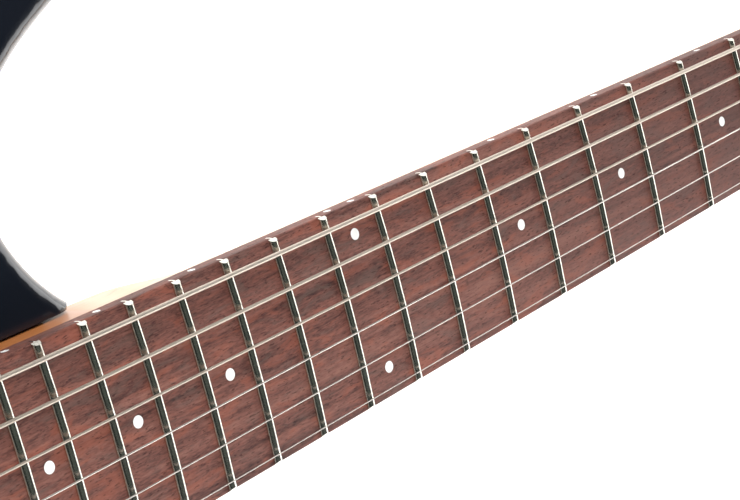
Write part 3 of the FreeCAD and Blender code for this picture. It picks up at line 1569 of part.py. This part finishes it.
def buildBolt(x, y):
    head = upright(boltHeadRadius, x, y, boltHeadLift, boltHeadLift + 0.5)
    cone = Part.makeCone(boltHeadRadius, boltRadius, boltHeadRadius - boltRadius,
                         Vector(x, y, boltHeadLift + 0.5))
    shank = upright(boltRadius, x, y, boltHeadLift + 1.0, boltLength)
    return head.multiFuse([cone, shank]).removeSplitter()


def boltHeadSlots(x, y):
    return [block(x - 2.6, x + 2.6, y - 0.5, y + 0.5, 0, boltHeadLift + 1.6),
            block(x - 0.5, x + 0.5, y - 2.6, y + 2.6, 0, boltHeadLift + 1.6)]


def buildBoltFerrule(x, y):
    shell = upright(boltFerruleRadius, x, y, 0, boltFerruleDepth)
    shell = shell.makeFillet(0.6, levelEdges(shell, 0))
    room = upright(boltHeadRadius, x, y, -margin, boltHeadLift + 0.2)
    return shell.cut([room, buildBolt(x, y), upright(boltRadius + boltHoleFit, x, y, boltHeadLift + 2.0,
                                                     boltFerruleDepth + margin)])


keep("jack_plate", buildJackPlate())
keep("output_jack", buildJack())
keep("strap_buttons", buildStrapButton(tailSeat, tailY, -1) + buildStrapButton(hornSeat, hornY, 1))
keep("neck_bolts", [buildBolt(x, y).cut(boltHeadSlots(x, y)) for x, y in boltPlaces()])
keep("bolt_ferrules", [buildBoltFerrule(x, y) for x, y in boltPlaces()])


# ---- wiring ----------------------------------------------------------------------------------
channelLevel = cavityFloor + channelRadius + 1.0
leadY = -pickupLength * 0.36


def channels():
    nearControl = (controlPath[0][0] - 12.0, controlPath[0][1] + 8.0)
    return [rod(channelRadius, Vector(bridgePickupX, leadY, channelLevel),
                Vector(neckPickupX, leadY, channelLevel)),
            rod(channelRadius, Vector(nearControl[0], leadY, channelLevel),
                Vector(nearControl[0], nearControl[1], channelLevel)),
            rod(channelRadius, Vector(potPlaces[0][0], potPlaces[0][1] + 10.0, channelLevel),
                Vector(potPlaces[0][0], -bridgeWidth * 0.3, bodyThickness - channelRadius * 0.5))]


def buildWiring():
    wire = leadRadius
    bend = leadBend
    drop = basePlateTop - basePlateThickness
    side = switchAt[1] + switchWidth / 2 + 4.0
    leadX = controlPath[0][0] - 12.0
    lowered = controlCeiling - switchHeight + 4.0
    neckLead = [Vector(neckPickupX, leadY, drop), Vector(neckPickupX, leadY, channelLevel - wire),
                Vector(leadX + wire, leadY, channelLevel - wire),
                Vector(leadX + wire, side, channelLevel - wire),
                Vector(leadX - 6.0, side, lowered)]
    bridgeLead = [Vector(bridgePickupX, leadY, drop), Vector(bridgePickupX, leadY, channelLevel + wire + 0.2),
                  Vector(leadX - wire, leadY - 6.0, channelLevel + wire + 0.2),
                  Vector(leadX - wire, side, channelLevel + wire + 0.2),
                  Vector(leadX - 14.0, side, lowered + 6.0)]
    volume = Vector(volumeAt[0], volumeAt[1], potTop - potHeight)
    tone = Vector(toneAt[0], toneAt[1], potTop - potHeight)
    below = potTop - potHeight - 8.0
    jump = [volume - Vector(5, 0, 0), Vector(volume.x - 5, volume.y, below),
            Vector(tone.x + 5, tone.y, below),
            tone + Vector(5, 0, 0)]
    jackEnd = Vector(jackX, jackMouth + jackLength, sideHoleHeight)
    jackLead = [tone - Vector(5, 0, 0), Vector(tone.x - 5, tone.y, below), Vector(jackX, tone.y - 2.0, below),
                Vector(jackX, jackEnd.y + 5.0, jackEnd.z), jackEnd]
    switchEnd = Vector(switchAt[0] - leverFrameLength * 0.3, switchAt[1] - 2.0, controlCeiling - switchHeight)
    switchLead = [switchEnd, switchEnd - Vector(0, 0, 8), Vector(volume.x + 5, volume.y, below),
                  volume + Vector(5, 0, 0)]
    pieces = [stadium(capacitorLength, capacitorWidth, tone.x, tone.y + potRadius * 0.5,
                      tone.z - capacitorWidth, tone.z)]
    for name, points in (("neck pickup lead", neckLead), ("bridge pickup lead", bridgeLead),
                         ("pot lead", jump),
                         ("jack lead", jackLead), ("switch lead", switchLead)):
        pieces.append(tube(name, points, [bend] * (len(points) - 2), wire))
    return pieces


# ---- body ------------------------------------------------------------------------------------
def buildBody():
    curve = outlineCurve(0)
    front = Part.LineSegment(curve.EndPoint, curve.StartPoint)
    slab = Part.Face(Part.Wire([curve.toShape(), front.toShape()])).extrude(Vector(0, 0, bodyThickness))
    slab = slab.makeFillet(bodyEdgeRound, levelEdges(slab, 0) + levelEdges(slab, bodyThickness))
    tools = [prism(heelPlan(pocketClearance, pocketClearance, bodyReach / 4), pocketFloor,
                   bodyThickness + margin),
             controlStroke(controlRadius, -margin, controlCeiling),
             controlStroke(controlRadius + coverLedge, -margin, coverPlateThickness)]
    for x in pickupXs:
        tools.append(roundedBlock(2 * basePlateHalfX + 2 * cavityRoom, 2 * basePlateHalfY + 2 * cavityRoom,
                                  4.0, x, 0,
                                  cavityFloor, bodyThickness + margin))
        tools.append(roundedBlock(earWidth + 2 * cavityRoom, 2 * earReach + 2 * cavityRoom, 3.0, x, 0,
                                  basePlateTop - basePlateThickness - heightScrewTail - 2.0,
                                  bodyThickness + margin))
        tools += [trimScrewHole(at, (0, 0, -1)) for at in ringScrewPlaces(x)]
    for index in everyString:
        y = stringBridgeY(index)
        tools.append(upright(ferruleRadius, stringHoleX, y, -margin, ferruleDepth))
        tools.append(upright(stringBoreRadius, stringHoleX, y, 0, bodyThickness + margin))
    for x, y in bridgeScrewPlaces():
        tools.append(upright(bridgeScrewRadius, x, y, plateTop - bridgeScrewLength, bodyThickness + margin))
    for x, y in boltPlaces():
        tools.append(upright(boltFerruleRadius, x, y, -margin, boltFerruleDepth))
        tools.append(upright(boltRadius + boltHoleFit, x, y, 0, pocketFloor + margin))
    for x, y in potPlaces:
        tools.append(upright(potBushRadius + potBushFit, x, y, 0, bodyThickness + margin))
    tools.append(seatSwitch(leverSlot()))
    tools += [trimScrewHole(at, (0, 0, -1)) for at in switchScrewPlaces()]
    tools += [trimScrewHole(at, (0, 0, 1)) for at in controlScrewPlaces()]
    tools += [jackRod(jackFlangeRadius + 0.4, jackSeat, jackSeat - bodyEdgeRound * 2),
              jackRod(jackCupRadius, jackSeat - margin, jackSeat + jackCupDepth),
              jackRod(jackBarrelRadius + 0.4, jackSeat, controlPath[-1][1])]
    for seat, y, side in ((tailSeat, tailY, -1), (hornSeat, hornY, 1)):
        tools.append(rod(strapFlangeRadius, Vector(seat, y, sideHoleHeight),
                         Vector(seat + side * 9, y, sideHoleHeight)))
        tools.append(rod(strapScrewRadius, Vector(seat - side * strapScrewLength, y, sideHoleHeight),
                         Vector(seat + side, y, sideHoleHeight)))
    return slab.cut(tools + channels())


keep("body", buildBody())
keep("wiring", buildWiring())
keep("trim_screws", trims)


os.makedirs("parts", exist_ok=True)
for name, shape in nodes.items():
    shape.exportStep("parts/%s.step" % name)
    print(name, "solids", len(shape.Solids), "valid", shape.isValid(), "volume", round(shape.Volume, 1))
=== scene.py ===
import json
import math

import bmesh
import bpy
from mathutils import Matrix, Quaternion, Vector


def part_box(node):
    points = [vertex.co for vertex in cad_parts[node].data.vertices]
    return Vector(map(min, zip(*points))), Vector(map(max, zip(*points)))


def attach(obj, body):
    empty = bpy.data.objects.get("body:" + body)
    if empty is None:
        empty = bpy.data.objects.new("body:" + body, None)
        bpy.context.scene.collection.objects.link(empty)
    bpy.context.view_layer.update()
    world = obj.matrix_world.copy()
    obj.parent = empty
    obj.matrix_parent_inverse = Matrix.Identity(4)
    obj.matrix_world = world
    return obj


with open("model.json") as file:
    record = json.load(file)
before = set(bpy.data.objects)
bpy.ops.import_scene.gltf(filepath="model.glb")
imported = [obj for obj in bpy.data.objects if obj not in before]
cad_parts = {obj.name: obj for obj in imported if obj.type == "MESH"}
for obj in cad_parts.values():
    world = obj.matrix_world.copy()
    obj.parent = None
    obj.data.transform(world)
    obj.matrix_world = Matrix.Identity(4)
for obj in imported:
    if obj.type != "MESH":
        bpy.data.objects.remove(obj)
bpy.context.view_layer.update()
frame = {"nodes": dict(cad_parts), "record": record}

nodes = frame["nodes"]
print("frame loaded:", len(nodes), "nodes")


def even(size):
    return (size, size, size)


def shaded(colour, share):
    return [part * share for part in colour]


class Wire:
    # an output socket; sums on it add their own Math nodes
    def __init__(self, shading, socket):
        self.shading = shading
        self.socket = socket

    def combine(self, operation, first, second):
        return self.shading.add("ShaderNodeMath", {"operation": operation}, {0: first, 1: second})

    def __add__(self, other):
        return self.combine("ADD", self, other)

    def __radd__(self, other):
        return self.combine("ADD", other, self)

    def __sub__(self, other):
        return self.combine("SUBTRACT", self, other)

    def __rsub__(self, other):
        return self.combine("SUBTRACT", other, self)

    def __mul__(self, other):
        return self.combine("MULTIPLY", self, other)

    def __rmul__(self, other):
        return self.combine("MULTIPLY", other, self)


class Shading:
    # the nodes of one material or world, and the shader that they feed
    def __init__(self, owner, shaderName):
        owner.use_nodes = True
        self.tree = owner.node_tree
        self.shader = self.tree.nodes[shaderName]

    def add(self, kind, settings=None, sockets=None, output=0):
        node = self.tree.nodes.new(kind)
        for name, value in (settings or {}).items():
            if name == "stops":
                self.setStops(node.color_ramp, value)
            else:
                setattr(node, name, value)
        for key, value in (sockets or {}).items():
            if isinstance(value, Wire):
                self.tree.links.new(value.socket, node.inputs[key])
            else:
                node.inputs[key].default_value = value
        return Wire(self, node.outputs[output])

    def setStops(self, ramp, stops):
        while len(ramp.elements) < len(stops):
            ramp.elements.new(1.0)
        for element, (position, colour) in zip(ramp.elements, stops):
            element.position = position
            element.color = (*colour, 1.0)

    def feed(self, socket, wire):
        self.tree.links.new(wire.socket, self.shader.inputs[socket])

    def ramp(self, value, positions, colours):
        return self.add("ShaderNodeValToRGB", {"stops": list(zip(positions, colours))}, {0: value})


class Finish(Shading):
    # a material; its constants go on the shader's own sockets
    def __init__(self, name, constants):
        self.material = bpy.data.materials.new(name)
        super().__init__(self.material, "Principled BSDF")
        for socket, value in constants.items():
            self.shader.inputs[socket].default_value = value

    def place(self, scale, shift=(0.0, 0.0, 0.0)):
        # scale is in cycles per metre along X, Y and Z
        coordinates = self.add("ShaderNodeTexCoord", output="Object")
        return self.add("ShaderNodeMapping", {},
                        {"Vector": coordinates, "Scale": scale, "Location": shift})

    def along(self):
        # metres along the guitar
        return self.add("ShaderNodeSeparateXYZ", {}, {0: self.place(even(1.0))}, "X")

    def noise(self, vector, detail=3.0, roughness=0.5, distortion=0.0):
        return self.add("ShaderNodeTexNoise", {},
                        {"Vector": vector, "Scale": 1.0, "Detail": detail,
                         "Roughness": roughness, "Distortion": distortion})

    def blend(self, factor, first, second):
        # inputs 6 and 7 are a colour mix's two colours, and output 2 its result
        return self.add("ShaderNodeMix", {"data_type": "RGBA"}, {0: factor, 6: first, 7: second}, 2)

    def tint(self, colour, factor, tone):
        return self.blend(factor, colour, (*tone, 1.0))

    def window(self, value, ends):
        # 0 at the first end, 1 at the second, smooth between
        return self.add("ShaderNodeMapRange", {"interpolation_type": "SMOOTHSTEP"},
                        {"Value": value, "From Min": ends[0], "From Max": ends[1]})

    def bump(self, height, relief):
        distance, strength = relief
        self.feed("Normal", self.add("ShaderNodeBump", {}, {"Height": height, "Distance": distance,
                                                            "Strength": strength}))


# in every look, a relief is a bump's depth in metres and its strength

rosewoodLook = {
    "darkest": (0.022, 0.010, 0.009),
    "dark": (0.078, 0.031, 0.025),
    "middle": (0.148, 0.058, 0.045),
    "light": (0.214, 0.095, 0.072),
    "red": (0.255, 0.070, 0.040),
    "grey": (0.152, 0.090, 0.074),
    "toneAt": (0.36, 0.43, 0.51, 0.61),  # where the grain reaches darkest, dark, middle and light
    "band": (9.0, 300.0, 300.0),         # the broad streaks, in cycles per metre
    "patch": (70.0, 260.0, 260.0),
    "fibre": (420.0, 2300.0, 2300.0),
    "pore": (520.0, 2400.0, 2400.0),
    "poreShift": (3.0, 1.0, 2.0),        # keeps the pores apart from the fibres
    "bandShare": 0.42,
    "patchShare": 0.24,
    "fibreShare": 0.34,
    "redRange": (0.52, 0.66),            # of the patches
    "greyRange": (0.48, 0.34),
    "tinting": 0.45,
    "poreRange": (0.32, 0.42),
    "poreDarkness": 0.62,
    "nutShadeRange": (0.33, 0.56),           # metres; painted shade, the board darker towards the nut
    "nutShading": 0.60,
    "roughness": 0.50,
    "fibreRoughness": 0.16,
    "poreRoughness": 0.2,
    "fibreHeight": 0.25,                 # against a pore's depth of 1
    "relief": (0.00010, 0.4),
}


def rosewood():
    look = rosewoodLook
    finish = Finish("rosewood", {"IOR": 1.42, "Specular IOR Level": 0.35})
    band = finish.noise(finish.place(look["band"]), detail=4.0, roughness=0.6, distortion=0.8)
    patch = finish.noise(finish.place(look["patch"]), detail=4.0, roughness=0.6, distortion=0.8)
    fibre = finish.noise(finish.place(look["fibre"]), detail=3.0, roughness=0.65, distortion=0.3)
    pore = finish.noise(finish.place(look["pore"], look["poreShift"]), detail=2.0, roughness=0.6)
    tone = band * look["bandShare"] + patch * look["patchShare"] + fibre * look["fibreShare"]
    colour = finish.ramp(tone, look["toneAt"],
                         (look["darkest"], look["dark"], look["middle"], look["light"]))
    colour = finish.tint(colour, finish.window(patch, look["redRange"]) * look["tinting"], look["red"])
    colour = finish.tint(colour, finish.window(patch, look["greyRange"]) * look["tinting"], look["grey"])
    # painted shade: the board darkens towards the nut, where less light falls
    deep = finish.window(finish.along(), look["nutShadeRange"]) * look["nutShading"]
    colour = finish.tint(colour, deep, look["dark"])
    pores = 1.0 - finish.window(pore, look["poreRange"])
    colour = finish.tint(colour, pores * look["poreDarkness"], look["darkest"])
    finish.feed("Base Color", colour)
    finish.feed("Roughness", look["roughness"] + fibre * look["fibreRoughness"]
                + pores * look["poreRoughness"])
    finish.bump(fibre * look["fibreHeight"] - pores, look["relief"])
    return finish.material


mapleLook = {
    "pale": (0.76, 0.55, 0.375),
    "warm": (0.66, 0.435, 0.265),
    "line": (0.48, 0.27, 0.14),
    "rings": (4.0, 90.0, 60.0),
    "ringsAt": (0.30, 0.55, 0.75),       # warm, pale and warm again
    "fleck": (160.0, 1500.0, 1500.0),
    "fleckRange": (0.30, 0.42),
    "fleckDarkness": 0.35,
    "nearBodyShade": (0.46, 0.17, 0.055),        # painted shade, where the neck runs in beside the body
    "nearBodyShadeRange": (0.262, 0.246),        # metres along the neck
    "roughness": 0.38,
    "coat": 0.35,
    "coatRoughness": 0.22,
    "relief": (0.00004, 0.3),
}


def maple():
    look = mapleLook
    finish = Finish("maple", {"Roughness": look["roughness"], "IOR": 1.5, "Coat Weight": look["coat"],
                              "Coat Roughness": look["coatRoughness"]})
    rings = finish.noise(finish.place(look["rings"]), detail=4.0, roughness=0.55, distortion=0.5)
    fleck = finish.noise(finish.place(look["fleck"]), detail=2.0)
    colour = finish.ramp(rings, look["ringsAt"], (look["warm"], look["pale"], look["warm"]))
    flecks = (1.0 - finish.window(fleck, look["fleckRange"])) * look["fleckDarkness"]
    colour = finish.tint(colour, flecks, look["line"])
    # painted shade: the neck turns dark orange where it runs beside the body
    colour = finish.tint(colour, finish.window(finish.along(), look["nearBodyShadeRange"]), look["nearBodyShade"])
    finish.feed("Base Color", colour)
    finish.bump(fleck, look["relief"])
    return finish.material


lacquerLook = {
    "deep": (0.0035, 0.0045, 0.0080),
    "lifted": (0.0060, 0.0085, 0.0140),
    "cloud": 9.0,
    "cloudAt": (0.35, 0.70),
    "ripple": 55.0,                      # the faint unevenness of a sprayed coat
    "roughness": 0.25,
    "rippleRoughness": 0.10,
    "coatRoughness": 0.10,
    "relief": (0.000002, 0.3),
}


def bodyLacquer():
    look = lacquerLook
    finish = Finish("body_lacquer", {"Specular IOR Level": 0.1, "Coat Weight": 1.0,
                                     "Coat Roughness": look["coatRoughness"], "Coat IOR": 1.45})
    cloud = finish.noise(finish.place(even(look["cloud"])))
    finish.feed("Base Color", finish.ramp(cloud, look["cloudAt"], (look["deep"], look["lifted"])))
    ripple = finish.noise(finish.place(even(look["ripple"])), detail=2.0)
    finish.feed("Roughness", look["roughness"] + ripple * look["rippleRoughness"])
    finish.bump(ripple, look["relief"])
    return finish.material


metalLooks = {
    # scratches are in cycles per metre, so they run along the axis with the fewest
    "fret_wire": {"colour": (0.72, 0.70, 0.62), "roughness": 0.24, "spread": 0.05,
                  "scratches": (3000.0, 120.0, 3000.0)},
    "plain_string": {"colour": (0.92, 0.86, 0.80), "roughness": 0.36, "spread": 0.06,
                     "scratches": (60.0, 4000.0, 4000.0)},
    "chrome": {"colour": (0.80, 0.80, 0.80), "roughness": 0.10, "spread": 0.04,
               "scratches": (900.0, 900.0, 900.0)},
    "plain_steel": {"colour": (0.52, 0.52, 0.51), "roughness": 0.34, "spread": 0.08,
                    "scratches": (120.0, 1800.0, 1800.0)},
    "brass": {"colour": (0.74, 0.55, 0.27), "roughness": 0.30, "spread": 0.07,
              "scratches": (1600.0, 1600.0, 90.0)},
}
hazeLook = {
    "size": 180.0,
    "darkening": 0.86,
    "at": (0.3, 0.7),
    "relief": (0.00002, 0.25),
}


def metal(name):
    look = metalLooks[name]
    finish = Finish(name, {"Metallic": 1.0})
    scratches = finish.noise(finish.place(look["scratches"]), detail=2.0, roughness=0.6)
    haze = finish.noise(finish.place(even(hazeLook["size"])))
    finish.feed("Roughness", (look["roughness"] - look["spread"]) + scratches * look["spread"]
                + haze * look["spread"])
    finish.feed("Base Color", finish.ramp(haze, hazeLook["at"],
                                          (shaded(look["colour"], hazeLook["darkening"]), look["colour"])))
    finish.bump(scratches, hazeLook["relief"])
    return finish.material


plasticLooks = {
    "black_plastic": {"colour": (0.014, 0.014, 0.015), "roughness": 0.32, "grain": 260.0},
    "magnet": {"colour": (0.10, 0.10, 0.11), "roughness": 0.55, "grain": 320.0},
    "wire_sleeve": {"colour": (0.45, 0.42, 0.34), "roughness": 0.6, "grain": 900.0},
    "pointer_paint": {"colour": (0.010, 0.010, 0.011), "roughness": 0.42, "grain": 700.0},
}
mottleLook = {
    "darkening": 0.88,
    "at": (0.3, 0.7),
    "smoothest": 0.7,                    # roughness as shares of the plastic's own
    "roughening": 0.6,
    "relief": (0.00003, 0.15),
}


def plastic(name):
    look = plasticLooks[name]
    finish = Finish(name, {"IOR": 1.47})
    mottle = finish.noise(finish.place(even(look["grain"])))
    finish.feed("Roughness", look["roughness"] * mottleLook["smoothest"]
                + mottle * (look["roughness"] * mottleLook["roughening"]))
    finish.feed("Base Color", finish.ramp(mottle, mottleLook["at"],
                                          (shaded(look["colour"], mottleLook["darkening"]), look["colour"])))
    finish.bump(mottle, mottleLook["relief"])
    return finish.material


pearlLook = {
    "dull": (0.86, 0.86, 0.83),
    "bright": (0.94, 0.94, 0.92),
    "cloud": 420.0,
    "cloudAt": (0.3, 0.6),
    "roughness": 0.16,
    "cloudRoughness": 0.14,
}


def pearlDot():
    look = pearlLook
    finish = Finish("pearl_dot", {"IOR": 1.5})
    cloud = finish.noise(finish.place(even(look["cloud"])))
    finish.feed("Base Color", finish.ramp(cloud, look["cloudAt"], (look["dull"], look["bright"])))
    finish.feed("Roughness", look["roughness"] + cloud * look["cloudRoughness"])
    return finish.material


boneLook = {
    "dark": (0.74, 0.67, 0.52),
    "light": (0.86, 0.82, 0.70),
    "cloud": (140.0, 500.0, 140.0),
    "cloudAt": (0.3, 0.7),
    "roughness": 0.42,
    "relief": (0.00004, 0.2),
}


def bone():
    look = boneLook
    finish = Finish("bone", {"Roughness": look["roughness"], "IOR": 1.5})
    cloud = finish.noise(finish.place(look["cloud"]), detail=4.0)
    finish.feed("Base Color", finish.ramp(cloud, look["cloudAt"], (look["dark"], look["light"])))
    finish.bump(cloud, look["relief"])
    return finish.material


windingLook = {
    "colour": (0.85, 0.75, 0.65),
    "grooveShade": 0.62,                      # painted shade: share of the colour down between two turns
    "grooveShadeAt": (0.1, 0.5),
    "turns": 2800.0,                     # in a metre of string
    "slant": 0.6,
    "roughness": 0.51,
    "turnRoughness": 0.08,
    "relief": (0.00004, 0.4),
}
bandsPerScale = 20.0 / (2 * math.pi)     # a band texture's repeats for each unit of its scale


def woundString():
    look = windingLook
    finish = Finish("wound_string", {"Metallic": 1.0})
    wave = finish.add("ShaderNodeTexWave", {"wave_type": "BANDS", "bands_direction": "X"},
                      {"Vector": finish.place((1.0, look["slant"], 0.0)),
                       "Scale": look["turns"] / bandsPerScale, "Distortion": 0.0})
    # painted shade in the gaps between the turns
    finish.feed("Base Color", finish.ramp(wave, look["grooveShadeAt"],
                                          (shaded(look["colour"], look["grooveShade"]), look["colour"])))
    finish.feed("Roughness", look["roughness"] + wave * look["turnRoughness"])
    finish.bump(wave, look["relief"])
    return finish.material


# the record's material slots, and the finish that each one gets
finishes = {
    "body_lacquer": bodyLacquer(),
    "maple": maple(),
    "rosewood": rosewood(),
    "fret_wire": metal("fret_wire"),
    "pearl_dot": pearlDot(),
    "bone": bone(),
    "string_steel": metal("plain_string"),
    "chrome": metal("chrome"),
    "plain_steel": metal("plain_steel"),
    "black_plastic": plastic("black_plastic"),
    "magnet": plastic("magnet"),
    "brass": metal("brass"),
    "wire_sleeve": plastic("wire_sleeve"),
}
finishOf = {part["node"]: finishes[part["material_slot"]] for part in frame["record"]["subparts"]}
winding = woundString()              # strings 4 to 6 share the plain strings' slot, but are wound
for node in ("string_4", "string_5", "string_6"):
    finishOf[node] = winding
print("finishes made")


creases = {
    "weldReach": 0.000002,
    "angle": 32.0,                       # a turned or rounded solid is smooth up to this many degrees
}


def dress(node):
    piece = nodes[node]
    mesh = piece.data
    mesh.materials.clear()
    mesh.materials.append(finishOf[node])
    mesh.polygons.foreach_set("use_smooth", [True] * len(mesh.polygons))
    weld = piece.modifiers.new("weld", "WELD")
    weld.merge_threshold = creases["weldReach"]
    split = piece.modifiers.new("creases", "EDGE_SPLIT")
    split.split_angle = math.radians(creases["angle"])


for node in nodes:
    dress(node)
print("dressed the solids")


def newPiece(name, shape, finish, body):
    mesh = bpy.data.meshes.new(name)
    bmesh.ops.recalc_face_normals(shape, faces=shape.faces)
    shape.to_mesh(mesh)
    shape.free()
    mesh.materials.append(finish)
    piece = bpy.data.objects.new(name, mesh)
    bpy.context.scene.collection.objects.link(piece)
    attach(piece, body)
    return piece


pointerLook = {
    "length": 0.0050,
    "width": 0.00088,
    "tall": 0.00036,
    "sink": 0.00006,                     # below the knob's top
    "inset": 0.0022,                     # from the knob's centre
    "edge": 0.00010,
    "edgeSteps": 2,
}


def buildPointer(name, knob, body, finish):
    # a painted strip that fills the groove in the top of a knob
    look = pointerLook
    low, high = (Vector(corner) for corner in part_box(knob))
    centre = (low + high) / 2
    shape = bmesh.new()
    bmesh.ops.create_cube(shape, size=1.0)
    bmesh.ops.scale(shape, vec=(look["length"], look["width"], look["tall"]), verts=shape.verts)
    upper = [edge for edge in shape.edges if all(vert.co.z > 0 for vert in edge.verts)]
    bmesh.ops.bevel(shape, geom=upper, offset=look["edge"], segments=look["edgeSteps"], profile=0.5,
                    affect="EDGES", material=-1)
    middle = Vector((centre.x + look["inset"] + look["length"] / 2, centre.y,
                     high.z - look["sink"] - look["tall"] / 2))
    bmesh.ops.translate(shape, vec=middle, verts=shape.verts)
    return newPiece(name, shape, finish, body)


paint = plastic("pointer_paint")
buildPointer("volume_pointer", "volume_knob", "volume_control", paint)
buildPointer("tone_pointer", "tone_knob", "tone_control", paint)
print("knob pointers set")


floorLook = {
    "size": 6.0,
    "middle": (0.33, 0.0, -0.0004),      # just under the back of the body
    "colour": (0.90, 0.90, 0.90, 1.0),
    "roughness": 0.6,
    "glow": 0.80,
}


def buildFloor():
    look = floorLook
    mesh = bpy.data.meshes.new("floor")
    shape = bmesh.new()
    bmesh.ops.create_grid(shape, x_segments=1, y_segments=1, size=look["size"] / 2)
    shape.to_mesh(mesh)
    shape.free()
    floor = bpy.data.objects.new("floor", mesh)
    floor.location = look["middle"]
    bpy.context.scene.collection.objects.link(floor)
    paper = Finish("floor", {"Base Color": look["colour"], "Roughness": look["roughness"],
                             "Emission Color": (1.0, 1.0, 1.0, 1.0), "Emission Strength": look["glow"]})
    mesh.materials.append(paper.material)


roomLook = {
    "backdrop": (0.96, 0.96, 0.96, 1.0),
    "heights": (0.0, 0.22, 0.45, 0.80, 0.96),   # from level with the horizon to straight overhead
    "colours": (
        (0.60, 0.59, 0.56),
        (0.16, 0.16, 0.155),
        (0.020, 0.022, 0.021),
        (0.020, 0.022, 0.021),
        (0.085, 0.100, 0.090),
    ),
}


def buildRoom():
    # a pale backdrop for the eye, and a studio with a dark ceiling for what the guitar mirrors
    look = roomLook
    world = bpy.data.worlds.new("studio")
    room = Shading(world, "Background")
    direction = room.add("ShaderNodeTexCoord", output="Generated")
    height = room.add("ShaderNodeSeparateXYZ", {}, {0: direction}, "Z")
    room.feed("Color", room.ramp(height, look["heights"], look["colours"]))
    walls = Wire(room, room.shader.outputs[0])
    backdrop = room.add("ShaderNodeBackground", {}, {"Color": look["backdrop"]})
    seenDirectly = room.add("ShaderNodeLightPath", output="Is Camera Ray")
    either = room.add("ShaderNodeMixShader", {}, {0: seenDirectly, 1: walls, 2: backdrop})
    room.tree.links.new(either.socket, room.tree.nodes["World Output"].inputs["Surface"])
    bpy.context.scene.world = world


# places, aims and sizes in metres, power in watts; an unmirrored lamp leaves no glare in the lacquer
lamps = {
    "headSide": {"place": (2.35, -0.40, 0.60), "aim": (0.35, 0.0, 0.05), "size": (3.4, 1.0),
                 "power": 34.0, "mirrored": True},
    "trebleHead": {"place": (1.35, -1.60, 0.95), "aim": (0.35, 0.0, 0.05), "size": (1.1, 1.2),
                   "power": 14.0, "mirrored": True},
    "bassSide": {"place": (-0.15, 0.95, 0.95), "aim": (0.10, 0.0, 0.05), "size": (1.3, 1.0),
                 "power": 25.0, "mirrored": False},
    "trebleSide": {"place": (-0.10, -0.95, 0.95), "aim": (0.10, 0.0, 0.05), "size": (1.3, 1.0),
                   "power": 12.5, "mirrored": False},
    "bassPanel": {"place": (0.20, 1.9, 1.3), "aim": (0.20, 0.0, 0.05), "size": (2.6, 1.4),
                  "power": 14.0, "mirrored": True},
    "treblePanel": {"place": (0.10, -1.9, 1.3), "aim": (0.10, 0.0, 0.05), "size": (2.6, 1.4),
                    "power": 9.0, "mirrored": True},
}


def aimed(place, aim):
    direction = Vector(aim) - Vector(place)
    return direction.to_track_quat("-Z", "Y")


def buildLamps():
    for name, look in lamps.items():
        light = bpy.data.lights.new(name, "AREA")
        light.shape = "RECTANGLE"
        light.size, light.size_y = look["size"]
        light.energy = look["power"]
        lamp = bpy.data.objects.new(name, light)
        lamp.location = look["place"]
        lamp.rotation_euler = aimed(look["place"], look["aim"]).to_euler()
        lamp.visible_glossy = look["mirrored"]
        bpy.context.scene.collection.objects.link(lamp)


cameraLook = {
    "place": (-0.0614, 0.1278, 0.4472),
    "aim": (0.3370, 0.0125, 0.0560),
    "roll": 86.8,                        # degrees, so the neck runs across the frame
    "lens": 109.1,
    "sensor": 36.0,
    "nearest": 0.01,
    "farthest": 20.0,
}


def buildCamera():
    look = cameraLook
    data = bpy.data.cameras.new("camera")
    data.sensor_fit = "HORIZONTAL"
    data.sensor_width = look["sensor"]
    data.lens = look["lens"]
    data.clip_start = look["nearest"]
    data.clip_end = look["farthest"]
    camera = bpy.data.objects.new("camera", data)
    camera.location = look["place"]
    roll = Quaternion((0.0, 0.0, 1.0), math.radians(look["roll"]))
    camera.rotation_euler = (aimed(look["place"], look["aim"]) @ roll).to_euler()
    bpy.context.scene.collection.objects.link(camera)
    bpy.context.scene.camera = camera


def setView():
    view = bpy.context.scene.view_settings
    view.view_transform = "Standard"
    view.look = "None"
    view.exposure = 0.0


buildFloor()
buildRoom()
buildLamps()
buildCamera()
setView()
print("stage, lights and camera set")
